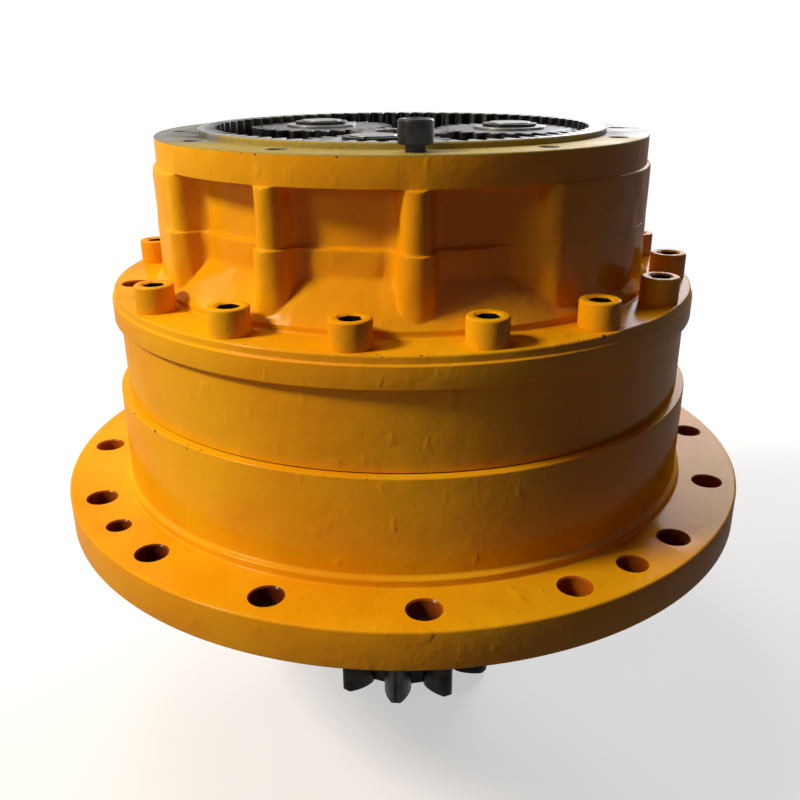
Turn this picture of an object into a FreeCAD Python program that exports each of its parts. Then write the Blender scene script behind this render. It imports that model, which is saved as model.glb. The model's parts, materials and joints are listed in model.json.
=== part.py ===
import FreeCAD, Part
import math
import os

# A two-stage planetary swing gearbox for an excavator, standing on its output pinion.
# Sizes are in millimetres and angles in degrees. +Z is up along the gear axis, -Y is the front,
# and z = 0 is the underside of the mounting flange.

# Clearances and fits
RUNNING_GAP = 0.05          # radial play of a shaft in its bore
FACE_GAP = 0.3              # between faces that turn past each other
BACKLASH = 0.25             # taken off each tooth's thickness
GEAR_GAP = 4.0              # from a turning gear to the casting around it
PRESSURE_ANGLE = 20.0
CUT_OVER = 1.0              # how far a cut runs past the faces that it opens
SEAM_BEVEL = 1.0            # on the turned edges where casings meet

# Height and depth of a tooth from its pitch circle, in modules
ADDENDUM = 1.0
DEDENDUM = 1.25

# Radii of the casings, outwards from the roots of the second ring gear
SECOND_MODULE = 7.0
SECOND_RING_TEETH = 58
SPIGOT_WALL = 9.25
SPIGOT_TO_SCREWS = 13.0
SCREWS_TO_SIDE = 15.0
SIDE_STEP = 7.0             # from the middle body's side out to the lower one's
SPIGOT_R = SECOND_MODULE * (SECOND_RING_TEETH / 2 + DEDENDUM) + SPIGOT_WALL
SCREW_CIRCLE_R = SPIGOT_R + SPIGOT_TO_SCREWS
MIDDLE_BODY_R = SCREW_CIRCLE_R + SCREWS_TO_SIDE
LOWER_BODY_R = MIDDLE_BODY_R + SIDE_STEP

# Mounting flange and lower casing
MOUNT_CIRCLE_GAP = 29.0     # from the body's side out to the mounting holes' circle
MOUNT_EDGE_GAP = 25.0       # from that circle out to the flange's edge
FLANGE_T = 32.0
EDGE_BEVEL = 2.0
MOUNT_CIRCLE_R = LOWER_BODY_R + MOUNT_CIRCLE_GAP
FLANGE_R = MOUNT_CIRCLE_R + MOUNT_EDGE_GAP
MOUNT_HOLES = 16
MOUNT_HOLE_R = 12.0
LOCATING_HOLE_R = 11.0
LOCATING_PLACE = 1.5        # in pitches of the mounting holes, counted from the front
JACK_HOLE_R = 9.0
JACK_PLACE = -2.5
PILOT_GAP = 35.0            # from the mounting holes' circle in to the pilot
PILOT_R = MOUNT_CIRCLE_R - PILOT_GAP
PILOT_H = 12.0
FOOT_STEP = 4.0
FOOT_H = 6.0
FOOT_BEVEL = 3.0
LOWER_CASING_H = 116.5
SUMP_FLOOR_Z = 26.0
SUMP_GAP = 9.0              # from the ring gear's tooth tips out to the sump wall
SUMP_BEVEL = 14.0
TOWER_WALL = 18.0
TOWER_RISE = 2.0            # above the upper bearing's cup
NECK_WALL = 24.0
NECK_SHOULDER_R = 205.0
NECK_SHOULDER_Z = -46.0
SPIGOT_H = 5.0

# Second ring gear, which is also the middle body
MIDDLE_BODY_H = 62.5

# Upper casing
UPPER_FLANGE_LIP = 5.0
UPPER_FLANGE_R = MIDDLE_BODY_R + UPPER_FLANGE_LIP
UPPER_FLANGE_T = 24.0
RIM_STEP_IN = 2.0
RIM_STEP_H = 7.0
STEP_TO_SCREWS = 18.0
STEP_R = SCREW_CIRCLE_R - STEP_TO_SCREWS
STEP_H = 5.0
STEP_LEDGE = 6.0
DRUM_R = STEP_R - STEP_LEDGE
DRUM_H = 122.0              # from the flange's underside to the top flange
FIRST_MODULE = 4.5
FIRST_RING_TEETH = 72
FIRST_RING_WALL = 4.875
FIRST_RING_R = FIRST_MODULE * (FIRST_RING_TEETH / 2 + DEDENDUM) + FIRST_RING_WALL
POCKET_WALL_T = 12.5        # outside the first ring gear's seat
POCKET_WALL_R = FIRST_RING_R + POCKET_WALL_T
POCKET_FILLET = 9.0
POCKET_SLOPE_H = 29.0
COLUMN_HALF = 13.0
BAND_H = 79.0
BAND_GROW = 2.5
TOP_FLANGE_STEP_IN = 3.0
TOP_FLANGE_R = DRUM_R - TOP_FLANGE_STEP_IN
TOP_FLANGE_T = 22.4
TOP_HOLES = 12
TOP_EDGE_GAP = 19.0         # from the top holes' circle out to the flange's edge
TOP_CIRCLE_R = TOP_FLANGE_R - TOP_EDGE_GAP
TOP_HOLE_R = 7.0
TOP_HOLE_DEPTH = 40.0
FIRST_POCKETS = (-2, -1, 0)  # front pockets, each named by the tapped hole on its left
UPPER_CAVITY_GAP = 10.0
UPPER_CAVITY_H = 27.0
THROAT_RISE = 12.0
RING_SEAT_W = 8.5
THROAT_R = FIRST_RING_R - RING_SEAT_W
RING_SEAT_DEPTH = 67.0

# Screws that clamp the three casings
SCREWS = 16
EMPTY_SCREW_PLACE = -3      # the place left without a screw
SCREW_R = 10.0
SCREW_HEAD_R = 15.0
SCREW_HEAD_H = 20.0
SCREW_SOCKET = 17.0
SCREW_SOCKET_DEPTH = 10.0
SCREW_LENGTH = 120.0
SCREW_HOLE_R = 11.0
TAP_EXTRA = 10.0
PULLER_HOLE_R = 4.5
PULLER_HOLE_PLACES = (-3, 5)
DOWEL_R = 6.0
DOWEL_LENGTH = 30.0
DOWEL_PLACES = (4, 12)

# Screw left standing in the motor's bolt circle
MOTOR_SCREW_R = 7.0
MOTOR_HEAD_R = 12.0
MOTOR_HEAD_H = 16.0
MOTOR_SOCKET = 14.0
MOTOR_SOCKET_DEPTH = 8.0
MOTOR_SCREW_LENGTH = 40.0
MOTOR_SCREW_PROUD = 5.0

# Bearings, as tapered roller pairs set back to back on a web
LOWER_BEARING_BORE_R = 70.0
LOWER_BEARING_SECTION = 55.0  # from its bore out to its seat in the casting
LOWER_BEARING_R = LOWER_BEARING_BORE_R + LOWER_BEARING_SECTION
LOWER_BEARING_W = 68.0
UPPER_BEARING_BORE_R = 60.0
UPPER_BEARING_SECTION = 47.5
UPPER_BEARING_R = UPPER_BEARING_BORE_R + UPPER_BEARING_SECTION
UPPER_BEARING_W = 62.0
BEARING_WEB_TOP = -8.0
BEARING_WEB_T = 20.0
BEARING_WEB_R = 98.0
ROLLERS = 14
ROLLER_GAP = 0.3            # from a roller's end to the rib beside it
CAGE_T = 3.0

# Output shaft and pinion
PINION_TEETH = 11
PINION_MODULE = 14.0
PINION_SHIFT = 0.5
PINION_FACE = 92.0
PINION_CHAMFER = 3.0
PINION_FRONT_TOOTH = -7.8
PINION_END_Z = -214.0
CENTRE_HOLE_R = 9.0
CENTRE_HOLE_END_R = 3.0
CENTRE_HOLE_DEPTH = 12.0
SEAL_LAND_R = 75.0
SHOULDER_R = 82.0
SPLINE_R = 52.0
SPLINE_TEETH = 24
SPLINE_DEPTH = 4.0
SPLINE_ROOT_SHARE = 0.32    # of the pitch, from a tooth's middle to its root
SPLINE_TIP_SHARE = 0.18
NUT_R = 72.5
NUT_H = 20.0
NUT_SLOTS = 4
NUT_SLOTS_AT = 45.0
NUT_SLOT_W = 12.0
NUT_SLOT_DEPTH = 5.0
LOCK_WASHER_T = 3.0
LOCK_WASHER_STEP = 3.0      # smaller than the nut all round
SPACER_WALL = 14.0

# Seal, its carrier, and the snap ring that holds them in the neck
SEAL_WALL = 15.0
SEAL_CASE_T = 4.0
SEAL_WEB_T = 5.0
SEAL_CARRIER_T = 14.0
NECK_LIP = 5.0
NECK_RING_T = 4.0
NECK_RING_W = 14.0
NECK_GROOVE = 5.0

# Second stage, inside the middle body
SECOND_SUN_TEETH = 20
SECOND_PLANET_TEETH = 19
SECOND_FACE_FOOT = 6.5      # from the middle body's underside up to the gears
SECOND_FACE_HEAD = 6.0      # from the gears up to the middle body's top
SECOND_FACE = MIDDLE_BODY_H - SECOND_FACE_FOOT - SECOND_FACE_HEAD
SECOND_FACE_Z = LOWER_CASING_H + SECOND_FACE_FOOT
SECOND_PLANETS_AT = 30.0
SECOND_PIN_R = 26.0
SECOND_BUSH_T = 6.0
SECOND_PLATE_T = 16.0
SECOND_CARRIER_EDGE = 27.5  # from the pins out to the plates' edge
SECOND_CENTRE_R = SECOND_MODULE * (SECOND_SUN_TEETH + SECOND_PLANET_TEETH) / 2
SECOND_CARRIER_R = SECOND_CENTRE_R + SECOND_PIN_R + SECOND_CARRIER_EDGE
SECOND_HUB_R = 84.0
SECOND_BUTTON_R = 26.0
SECOND_BUTTON_T = 4.0
SUN_CLEARANCE = 3.0

# First stage, in the mouth of the upper casing
FIRST_SUN_TEETH = 18
FIRST_PLANET_TEETH = 27
FIRST_FACE = 56.0
FIRST_PLANETS_AT = -15.0
FIRST_RING_PROUD = 4.6
FIRST_PLANET_DROP = 6.0     # planets' top faces below the ring's top
FIRST_PIN_R = 18.0
FIRST_BUSH_T = 6.0
FIRST_PLATE_T = 18.0
FIRST_CARRIER_R = 148.0
FIRST_HUB_R = 56.0
FIRST_HUB_H = 32.0
SNAP_RING_T = 2.5
SNAP_RING_W = 8.0
SNAP_RING_GAP = 4.0
PIN_GROOVE = 2.0
PIN_TIP = 1.0
THRUST_WASHER_T = 2.0
THRUST_WASHER_W = 14.0
SUN_SPLINE_R = 36.0
SUN_SPLINE_TEETH = 20
SUN_SPLINE_DEPTH = 3.0
SPLINE_OVERRUN = 4.0
SUN_NECK_R = 32.0
PLATE_RECESS_R = 44.0
PLATE_RECESS_DEPTH = 14.0
SUN_THRUST_T = 8.0
SUN_THRUST_GAP = 2.0        # from its rim to the recess around it
SOCKET_R = 24.0
SOCKET_TEETH = 20
SOCKET_TOOTH_DEPTH = 2.5
SOCKET_DEPTH = 46.0

PLANETS = 3


class Stage:
    """One planetary stage: its tooth counts and the radii that follow from them."""

    def __init__(self, module, sun, planet, ring):
        self.module = module
        self.sun, self.planet, self.ring = sun, planet, ring
        self.centre_r = module * (sun + planet) / 2
        self.ring_tip_r = module * (ring / 2 - ADDENDUM)
        self.ring_root_r = module * (ring / 2 + DEDENDUM)
        self.planet_tip_r = module * (planet / 2 + ADDENDUM)
        self.sun_tip_r = module * (sun / 2 + ADDENDUM)


SECOND = Stage(SECOND_MODULE, SECOND_SUN_TEETH, SECOND_PLANET_TEETH, SECOND_RING_TEETH)
FIRST = Stage(FIRST_MODULE, FIRST_SUN_TEETH, FIRST_PLANET_TEETH, FIRST_RING_TEETH)

# Heights that follow from the sizes above
MIDDLE_Z = LOWER_CASING_H
UPPER_Z = MIDDLE_Z + MIDDLE_BODY_H
UPPER_FLANGE_TOP = UPPER_Z + UPPER_FLANGE_T
STEP_TOP = UPPER_FLANGE_TOP + STEP_H
DRUM_TOP = UPPER_Z + DRUM_H
TOP_FACE_Z = DRUM_TOP + TOP_FLANGE_T
RING_TOP_Z = TOP_FACE_Z + FIRST_RING_PROUD
RING_SEAT_Z = TOP_FACE_Z - RING_SEAT_DEPTH
UPPER_BEARING_TOP = BEARING_WEB_TOP + UPPER_BEARING_W
BEARING_WEB_Z = BEARING_WEB_TOP - BEARING_WEB_T
LOWER_BEARING_Z = BEARING_WEB_Z - LOWER_BEARING_W
SEAL_CARRIER_Z = LOWER_BEARING_Z - SEAL_CARRIER_T
NECK_RING_Z = SEAL_CARRIER_Z - NECK_RING_T
NECK_Z = NECK_RING_Z - NECK_LIP
PINION_TOP_Z = PINION_END_Z + PINION_FACE
TOWER_TOP = UPPER_BEARING_TOP + TOWER_RISE
TOWER_R = UPPER_BEARING_R + TOWER_WALL
NECK_R = LOWER_BEARING_R + NECK_WALL
SUMP_R = SECOND.ring_tip_r + SUMP_GAP
SEAL_R = SEAL_LAND_R + SEAL_WALL
NUT_Z = UPPER_BEARING_TOP + LOCK_WASHER_T
HUB_Z = NUT_Z + NUT_H + FACE_GAP
SECOND_PLATE_TOP = SECOND_FACE_Z - THRUST_WASHER_T
SECOND_PLATE_Z = SECOND_PLATE_TOP - SECOND_PLATE_T
SECOND_TOP_PLATE_Z = SECOND_FACE_Z + SECOND_FACE + THRUST_WASHER_T
SECOND_CARRIER_TOP = SECOND_TOP_PLATE_Z + SECOND_PLATE_T
SHAFT_END_Z = SECOND_FACE_Z - SECOND_BUTTON_T
FIRST_FACE_TOP = RING_TOP_Z - FIRST_PLANET_DROP
FIRST_FACE_Z = FIRST_FACE_TOP - FIRST_FACE
FIRST_PLATE_TOP = FIRST_FACE_Z - THRUST_WASHER_T
FIRST_PLATE_Z = FIRST_PLATE_TOP - FIRST_PLATE_T
FIRST_HUB_Z = FIRST_PLATE_Z - FIRST_HUB_H
PLATE_RECESS_Z = FIRST_PLATE_TOP - PLATE_RECESS_DEPTH
SUN_THRUST_Z = FIRST_FACE_Z - SUN_THRUST_T
SECOND_WINDOW_R = SECOND.planet_tip_r + GEAR_GAP
SECOND_SUN_HOLE_R = SECOND.sun_tip_r + SUN_CLEARANCE


def at_angle(radius, degrees, z=0.0):
    """Point at a radius, with the angle measured from the front towards +X."""
    angle = math.radians(degrees)
    return FreeCAD.Vector(radius * math.sin(angle), -radius * math.cos(angle), z)


def places(count, first=0.0):
    """Angles of equally spaced places."""
    return [first + 360.0 * index / count for index in range(count)]


def cylinder(radius, z_low, z_high, centre=None):
    """Upright cylinder between two heights."""
    base = FreeCAD.Vector(0, 0, z_low)
    if centre is not None:
        base = FreeCAD.Vector(centre.x, centre.y, z_low)
    return Part.makeCylinder(radius, z_high - z_low, base)


def tube(outer_r, inner_r, z_low, z_high, centre=None):
    """Upright ring with a round bore."""
    return cylinder(outer_r, z_low, z_high, centre).cut(
        cylinder(inner_r, z_low - CUT_OVER, z_high + CUT_OVER, centre))


def revolved(corners):
    """Turned solid. Each corner is (radius, z), or (radius, z, bevel) where it is cut off."""
    points = []
    for index, corner in enumerate(corners):
        point = FreeCAD.Vector(corner[0], 0, corner[1])
        if len(corner) == 2:
            points.append(point)
            continue
        for neighbour in (corners[index - 1], corners[(index + 1) % len(corners)]):
            towards = FreeCAD.Vector(neighbour[0], 0, neighbour[1]) - point
            points.append(point + towards.normalize() * corner[2])
    face = Part.Face(Part.makePolygon(points + points[:1]))
    return face.revolve(FreeCAD.Vector(), FreeCAD.Vector(0, 0, 1), 360)


def joined(shapes):
    """One solid from touching or overlapping solids, without the seams between them."""
    return shapes[0].fuse(shapes[1:]).removeSplitter()


def drilled(solid, cutters):
    """The solid with every cutter taken away."""
    return solid.cut(Part.Compound(cutters))


def involute(angle):
    return math.tan(angle) - angle


def toothed_wire(teeth, module, low_r, high_r, first_tooth=0.0, pitch_thickness=None):
    """Closed outline of involute teeth. first_tooth is one tooth's angle from the front.

    Each flank is an arc through three points of the involute. Below the base circle it
    goes straight towards the axis. The short lands at the tips and roots are straight.
    """
    pressure = math.radians(PRESSURE_ANGLE)
    pitch_r = module * teeth / 2
    base_r = pitch_r * math.cos(pressure)
    if pitch_thickness is None:
        pitch_thickness = math.pi * module / 2 - BACKLASH
    half_at_base = pitch_thickness / (2 * pitch_r) + involute(pressure)

    def flank_point(radius, tooth_angle, hand):
        half_angle = half_at_base
        if radius > base_r:
            half_angle -= involute(math.acos(base_r / radius))
        return at_angle(radius, tooth_angle + hand * math.degrees(half_angle))

    start_r = max(low_r, base_r)
    edges, roots = [], []
    for angle in places(teeth, first_tooth):
        tips = []
        for hand in (-1, 1):
            root, start = flank_point(low_r, angle, hand), flank_point(start_r, angle, hand)
            middle = flank_point((start_r + high_r) / 2, angle, hand)
            tip = flank_point(high_r, angle, hand)
            if low_r < base_r:
                edges.append(Part.makeLine(root, start))
            edges.append(Part.Arc(start, middle, tip).toShape())
            tips.append(tip)
            roots.append(root)
        edges.append(Part.makeLine(tips[0], tips[1]))
    for index in range(teeth):
        edges.append(Part.makeLine(roots[2 * index - 1], roots[2 * index]))
    return Part.Wire(Part.__sortEdges__(edges))


def lifted(face, z_low, z_high):
    """Upright prism on a flat face drawn at z = 0."""
    prism = face.extrude(FreeCAD.Vector(0, 0, z_high - z_low))
    prism.translate(FreeCAD.Vector(0, 0, z_low))
    return prism


def gear(teeth, module, z_low, z_high, bore_r, first_tooth, low_r=None, high_r=None, thickness=None):
    """Outside gear about the Z axis, with a round bore or none."""
    low = low_r if low_r is not None else module * (teeth / 2 - DEDENDUM)
    high = high_r if high_r is not None else module * (teeth / 2 + ADDENDUM)
    outline = toothed_wire(teeth, module, low, high, first_tooth, thickness)
    face = Part.Face(outline)
    if bore_r > 0:
        face = face.cut(Part.Face(Part.Wire(Part.makeCircle(bore_r))))
    return lifted(face, z_low, z_high)


def ring_teeth_cutter(stage, z_low, z_high, first_space):
    """Toothed prism that cuts an inside gear. first_space is one tooth space's angle."""
    width = math.pi * stage.module / 2 + BACKLASH
    outline = toothed_wire(stage.ring, stage.module, stage.ring_tip_r, stage.ring_root_r,
                           first_space, width)
    return lifted(Part.Face(outline), z_low, z_high)


def spline_wire(radius, teeth, depth, first_tooth=0.0):
    """Straight-sided spline outline. radius is the tooth tips' radius."""
    step = 360.0 / teeth
    points = []
    for angle in places(teeth, first_tooth):
        points.append(at_angle(radius - depth, angle - SPLINE_ROOT_SHARE * step))
        points.append(at_angle(radius, angle - SPLINE_TIP_SHARE * step))
        points.append(at_angle(radius, angle + SPLINE_TIP_SHARE * step))
        points.append(at_angle(radius - depth, angle + SPLINE_ROOT_SHARE * step))
    points.append(points[0])
    return Part.makePolygon(points)


def spline(radius, teeth, depth, z_low, z_high, first_tooth=0.0):
    return lifted(Part.Face(spline_wire(radius, teeth, depth, first_tooth)), z_low, z_high)


def hexagon(across_flats, z_low, z_high, centre):
    """Upright hexagonal prism."""
    corner_r = across_flats / 2 / math.cos(math.radians(30))
    points = [centre + at_angle(corner_r, angle) for angle in places(6)]
    points = [FreeCAD.Vector(point.x, point.y, 0) for point in points]
    return lifted(Part.Face(Part.makePolygon(points + [points[0]])), z_low, z_high)


def socket_screw(centre, seat_z, shank_r, head_r, head_h, socket, socket_depth, length):
    """Socket head cap screw standing on a seat, with its shank below."""
    top = seat_z + head_h
    screw = joined([cylinder(shank_r, seat_z - length, seat_z, centre),
                    cylinder(head_r, seat_z, top, centre)])
    return screw.cut(hexagon(socket, top - socket_depth, top + CUT_OVER, centre))


def snap_ring(outer_r, width, z_low, thickness, centre, gap_angle):
    """Open ring, with its gap turned to one side."""
    ring = tube(outer_r, outer_r - width, z_low, z_low + thickness, centre)
    slit = Part.makeBox(SNAP_RING_GAP, outer_r + CUT_OVER, thickness + 2 * CUT_OVER,
                        FreeCAD.Vector(-SNAP_RING_GAP / 2, -outer_r - CUT_OVER, z_low - CUT_OVER))
    slit.rotate(FreeCAD.Vector(), FreeCAD.Vector(0, 0, 1), gap_angle)
    slit.translate(FreeCAD.Vector(centre.x, centre.y, 0))
    return ring.cut(slit)


# Lower casing

def lower_casing():
    foot_r = LOWER_BODY_R + FOOT_STEP
    foot_top = FLANGE_T + FOOT_H
    outside = revolved([
        (LOWER_BEARING_R, NECK_Z), (NECK_R, NECK_Z, EDGE_BEVEL), (NECK_R, NECK_SHOULDER_Z),
        (NECK_SHOULDER_R, -PILOT_H), (PILOT_R, -PILOT_H, EDGE_BEVEL), (PILOT_R, 0),
        (FLANGE_R, 0, EDGE_BEVEL), (FLANGE_R, FLANGE_T, EDGE_BEVEL), (foot_r, FLANGE_T),
        (foot_r, foot_top - EDGE_BEVEL), (LOWER_BODY_R, foot_top + FOOT_BEVEL),
        (LOWER_BODY_R, LOWER_CASING_H, SEAM_BEVEL), (SPIGOT_R, LOWER_CASING_H),
        (SPIGOT_R, LOWER_CASING_H - SPIGOT_H), (SUMP_R, LOWER_CASING_H - SPIGOT_H),
        (SUMP_R, SUMP_FLOOR_Z, SUMP_BEVEL), (TOWER_R, SUMP_FLOOR_Z), (TOWER_R, TOWER_TOP),
        (UPPER_BEARING_R, TOWER_TOP), (UPPER_BEARING_R, BEARING_WEB_TOP),
        (BEARING_WEB_R, BEARING_WEB_TOP), (BEARING_WEB_R, BEARING_WEB_Z),
        (LOWER_BEARING_R, BEARING_WEB_Z), (LOWER_BEARING_R, SEAL_CARRIER_Z),
        (LOWER_BEARING_R + NECK_GROOVE, SEAL_CARRIER_Z), (LOWER_BEARING_R + NECK_GROOVE, NECK_RING_Z),
        (LOWER_BEARING_R, NECK_RING_Z)])
    pitch = 360.0 / MOUNT_HOLES
    cutters = []
    for radius, angles in ((MOUNT_HOLE_R, places(MOUNT_HOLES)),
                           (LOCATING_HOLE_R, places(2, LOCATING_PLACE * pitch)),
                           (JACK_HOLE_R, places(2, JACK_PLACE * pitch))):
        for angle in angles:
            cutters.append(cylinder(radius, -CUT_OVER, FLANGE_T + CUT_OVER, at_angle(MOUNT_CIRCLE_R, angle)))
    tap_z = UPPER_FLANGE_TOP - SCREW_LENGTH - TAP_EXTRA
    for angle in screw_angles():
        cutters.append(cylinder(SCREW_R, tap_z, LOWER_CASING_H + CUT_OVER, at_angle(SCREW_CIRCLE_R, angle)))
    for angle in dowel_angles():
        cutters.append(cylinder(DOWEL_R, LOWER_CASING_H - DOWEL_LENGTH / 2, LOWER_CASING_H + CUT_OVER,
                                at_angle(SCREW_CIRCLE_R, angle)))
    return drilled(outside, cutters)


def screw_angles():
    """The screw places, half a pitch off the mounting holes."""
    pitch = 360.0 / SCREWS
    return places(SCREWS, pitch / 2)


def dowel_angles():
    return [place * 360.0 / SCREWS for place in DOWEL_PLACES]


# Second ring gear

def second_ring_gear():
    body = revolved([
        (SECOND.ring_tip_r, MIDDLE_Z - SPIGOT_H), (SPIGOT_R, MIDDLE_Z - SPIGOT_H), (SPIGOT_R, MIDDLE_Z),
        (MIDDLE_BODY_R, MIDDLE_Z, SEAM_BEVEL), (MIDDLE_BODY_R, UPPER_Z), (SPIGOT_R, UPPER_Z),
        (SPIGOT_R, UPPER_Z - SPIGOT_H), (SECOND.ring_tip_r, UPPER_Z - SPIGOT_H)])
    cutters = [ring_teeth_cutter(SECOND, MIDDLE_Z - SPIGOT_H - CUT_OVER, UPPER_Z, second_space())]
    for angle in screw_angles():
        cutters.append(cylinder(SCREW_HOLE_R, MIDDLE_Z - CUT_OVER, UPPER_Z + CUT_OVER,
                                at_angle(SCREW_CIRCLE_R, angle)))
    for angle in dowel_angles():
        cutters.append(cylinder(DOWEL_R, MIDDLE_Z - CUT_OVER, MIDDLE_Z + DOWEL_LENGTH / 2,
                                at_angle(SCREW_CIRCLE_R, angle)))
    return drilled(body, cutters)


# Upper casing

def column_point(number, out, side):
    """Point beside the line from the axis to a tapped hole: so far out, and so far to its right."""
    direction = number * 360.0 / TOP_HOLES
    return at_angle(out, direction) + at_angle(side, direction + 90)


def pocket_edges(number, grow):
    """Outline of the pocket that follows a tapped hole, from its column's tip to the next one's."""
    step = 360.0 / TOP_HOLES
    half = COLUMN_HALF + grow
    nose_out = DRUM_R - COLUMN_HALF
    fillet_side = COLUMN_HALF + POCKET_FILLET
    fillet_centre_r = POCKET_WALL_R + POCKET_FILLET
    fillet_out = math.sqrt(fillet_centre_r ** 2 - fillet_side ** 2)
    fillet_turn = math.degrees(math.asin(fillet_side / fillet_centre_r))
    wall_r = POCKET_WALL_R + grow
    edges, wall_ends = [], []
    for column, hand in ((number, 1), (number + 1, -1)):
        tip = column_point(column, nose_out + half, 0)
        shoulder = column_point(column, nose_out + half * math.sqrt(0.5), hand * half * math.sqrt(0.5))
        nose_end = column_point(column, nose_out, hand * half)
        side_end = column_point(column, fillet_out, hand * half)
        wall_end = at_angle(wall_r, column * step + hand * fillet_turn)
        centre = column_point(column, fillet_out, hand * fillet_side)
        inward = (side_end - centre).normalize() + (wall_end - centre).normalize()
        middle = centre + inward.normalize() * (POCKET_FILLET - grow)
        edges += [Part.Arc(tip, shoulder, nose_end).toShape(), Part.makeLine(nose_end, side_end),
                  Part.Arc(side_end, middle, wall_end).toShape()]
        wall_ends.append(wall_end)
    wall_middle = at_angle(wall_r, (number + 0.5) * step)
    edges.append(Part.Arc(wall_ends[0], wall_middle, wall_ends[1]).toShape())
    return edges


def drum_plan(grow):
    """Plan of the drum: two wide lobes, and between them pockets with a column at each end."""
    step = 360.0 / TOP_HOLES
    edges = []
    for turned in (0, TOP_HOLES // 2):
        for number in FIRST_POCKETS:
            edges += pocket_edges(number + turned, grow)
        first = max(FIRST_POCKETS) + 1 + turned
        last = min(FIRST_POCKETS) + TOP_HOLES // 2 + turned
        lobe = [at_angle(DRUM_R + grow, number * step) for number in (first, (first + last) / 2, last)]
        edges.append(Part.Arc(*lobe).toShape())
    return Part.Face(Part.Wire(Part.__sortEdges__(edges)))


def upper_casing():
    rim_z = UPPER_FLANGE_TOP - RIM_STEP_H
    slope_top = STEP_TOP + POCKET_SLOPE_H
    flange = revolved([
        (0, UPPER_Z - SPIGOT_H), (SPIGOT_R, UPPER_Z - SPIGOT_H), (SPIGOT_R, UPPER_Z),
        (UPPER_FLANGE_R, UPPER_Z, SEAM_BEVEL), (UPPER_FLANGE_R, rim_z),
        (UPPER_FLANGE_R - RIM_STEP_IN, rim_z + SEAM_BEVEL), (UPPER_FLANGE_R - RIM_STEP_IN, UPPER_FLANGE_TOP),
        (STEP_R, UPPER_FLANGE_TOP), (STEP_R, STEP_TOP, SEAM_BEVEL),
        (POCKET_WALL_R + BAND_GROW, slope_top), (0, slope_top)])
    band = lifted(drum_plan(BAND_GROW), UPPER_FLANGE_TOP, UPPER_Z + BAND_H)
    drum = lifted(drum_plan(0.0), UPPER_FLANGE_TOP, DRUM_TOP)
    top = revolved([(0, DRUM_TOP - SEAM_BEVEL), (TOP_FLANGE_R - SEAM_BEVEL, DRUM_TOP - SEAM_BEVEL),
                    (TOP_FLANGE_R, DRUM_TOP), (TOP_FLANGE_R, TOP_FACE_Z, SEAM_BEVEL), (0, TOP_FACE_Z)])
    outside = joined([flange, band, drum, top])
    cavity_r = SECOND_CARRIER_R + UPPER_CAVITY_GAP
    cavity_top = UPPER_Z + UPPER_CAVITY_H
    cavity_z = UPPER_Z - SPIGOT_H - CUT_OVER
    cavity = revolved([
        (0, cavity_z), (cavity_r, cavity_z), (cavity_r, cavity_top),
        (THROAT_R, cavity_top + THROAT_RISE), (THROAT_R, RING_SEAT_Z), (FIRST_RING_R, RING_SEAT_Z),
        (FIRST_RING_R, TOP_FACE_Z + CUT_OVER), (0, TOP_FACE_Z + CUT_OVER)])
    cutters = [cavity]
    for angle in places(TOP_HOLES):
        cutters.append(cylinder(TOP_HOLE_R, TOP_FACE_Z - TOP_HOLE_DEPTH, TOP_FACE_Z + CUT_OVER,
                                at_angle(TOP_CIRCLE_R, angle)))
    for angle in screw_angles():
        cutters.append(cylinder(SCREW_HOLE_R, UPPER_Z - CUT_OVER, UPPER_FLANGE_TOP + CUT_OVER,
                                at_angle(SCREW_CIRCLE_R, angle)))
    for place in PULLER_HOLE_PLACES:
        cutters.append(cylinder(PULLER_HOLE_R, UPPER_Z - CUT_OVER, UPPER_FLANGE_TOP + CUT_OVER,
                                at_angle(SCREW_CIRCLE_R, place * 360.0 / SCREWS)))
    return drilled(outside, cutters)


# First ring gear

def first_ring_gear():
    body = revolved([
        (FIRST.ring_tip_r, RING_SEAT_Z), (FIRST_RING_R, RING_SEAT_Z),
        (FIRST_RING_R, RING_TOP_Z, SEAM_BEVEL), (FIRST.ring_tip_r, RING_TOP_Z)])
    return drilled(body, [ring_teeth_cutter(FIRST, RING_SEAT_Z - CUT_OVER, RING_TOP_Z + CUT_OVER,
                                            first_space())])


def first_space():
    """A tooth of the first ring stands at the front, so a space is half a pitch from it."""
    return 180.0 / FIRST_RING_TEETH


def second_space():
    return 180.0 / SECOND_RING_TEETH


# Fasteners of the casings

def flange_screws():
    screws = []
    for number, angle in enumerate(screw_angles()):
        if number == EMPTY_SCREW_PLACE % SCREWS - 1:
            continue
        screws.append(socket_screw(at_angle(SCREW_CIRCLE_R, angle), UPPER_FLANGE_TOP, SCREW_R,
                                   SCREW_HEAD_R, SCREW_HEAD_H, SCREW_SOCKET, SCREW_SOCKET_DEPTH,
                                   SCREW_LENGTH))
    return Part.Compound(screws)


def motor_screw():
    return socket_screw(at_angle(TOP_CIRCLE_R, 0), TOP_FACE_Z + MOTOR_SCREW_PROUD, MOTOR_SCREW_R,
                        MOTOR_HEAD_R, MOTOR_HEAD_H, MOTOR_SOCKET, MOTOR_SOCKET_DEPTH,
                        MOTOR_SCREW_LENGTH)


def casing_dowels():
    half = DOWEL_LENGTH / 2
    return Part.Compound([cylinder(DOWEL_R, MIDDLE_Z - half, MIDDLE_Z + half,
                                   at_angle(SCREW_CIRCLE_R, angle)) for angle in dowel_angles()])


# Seal in the neck

def seal_carrier():
    return tube(LOWER_BEARING_R, SEAL_R, SEAL_CARRIER_Z, LOWER_BEARING_Z)


def neck_snap_ring():
    return snap_ring(LOWER_BEARING_R + NECK_GROOVE, NECK_RING_W, NECK_RING_Z, NECK_RING_T,
                     FreeCAD.Vector(), 0)


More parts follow.
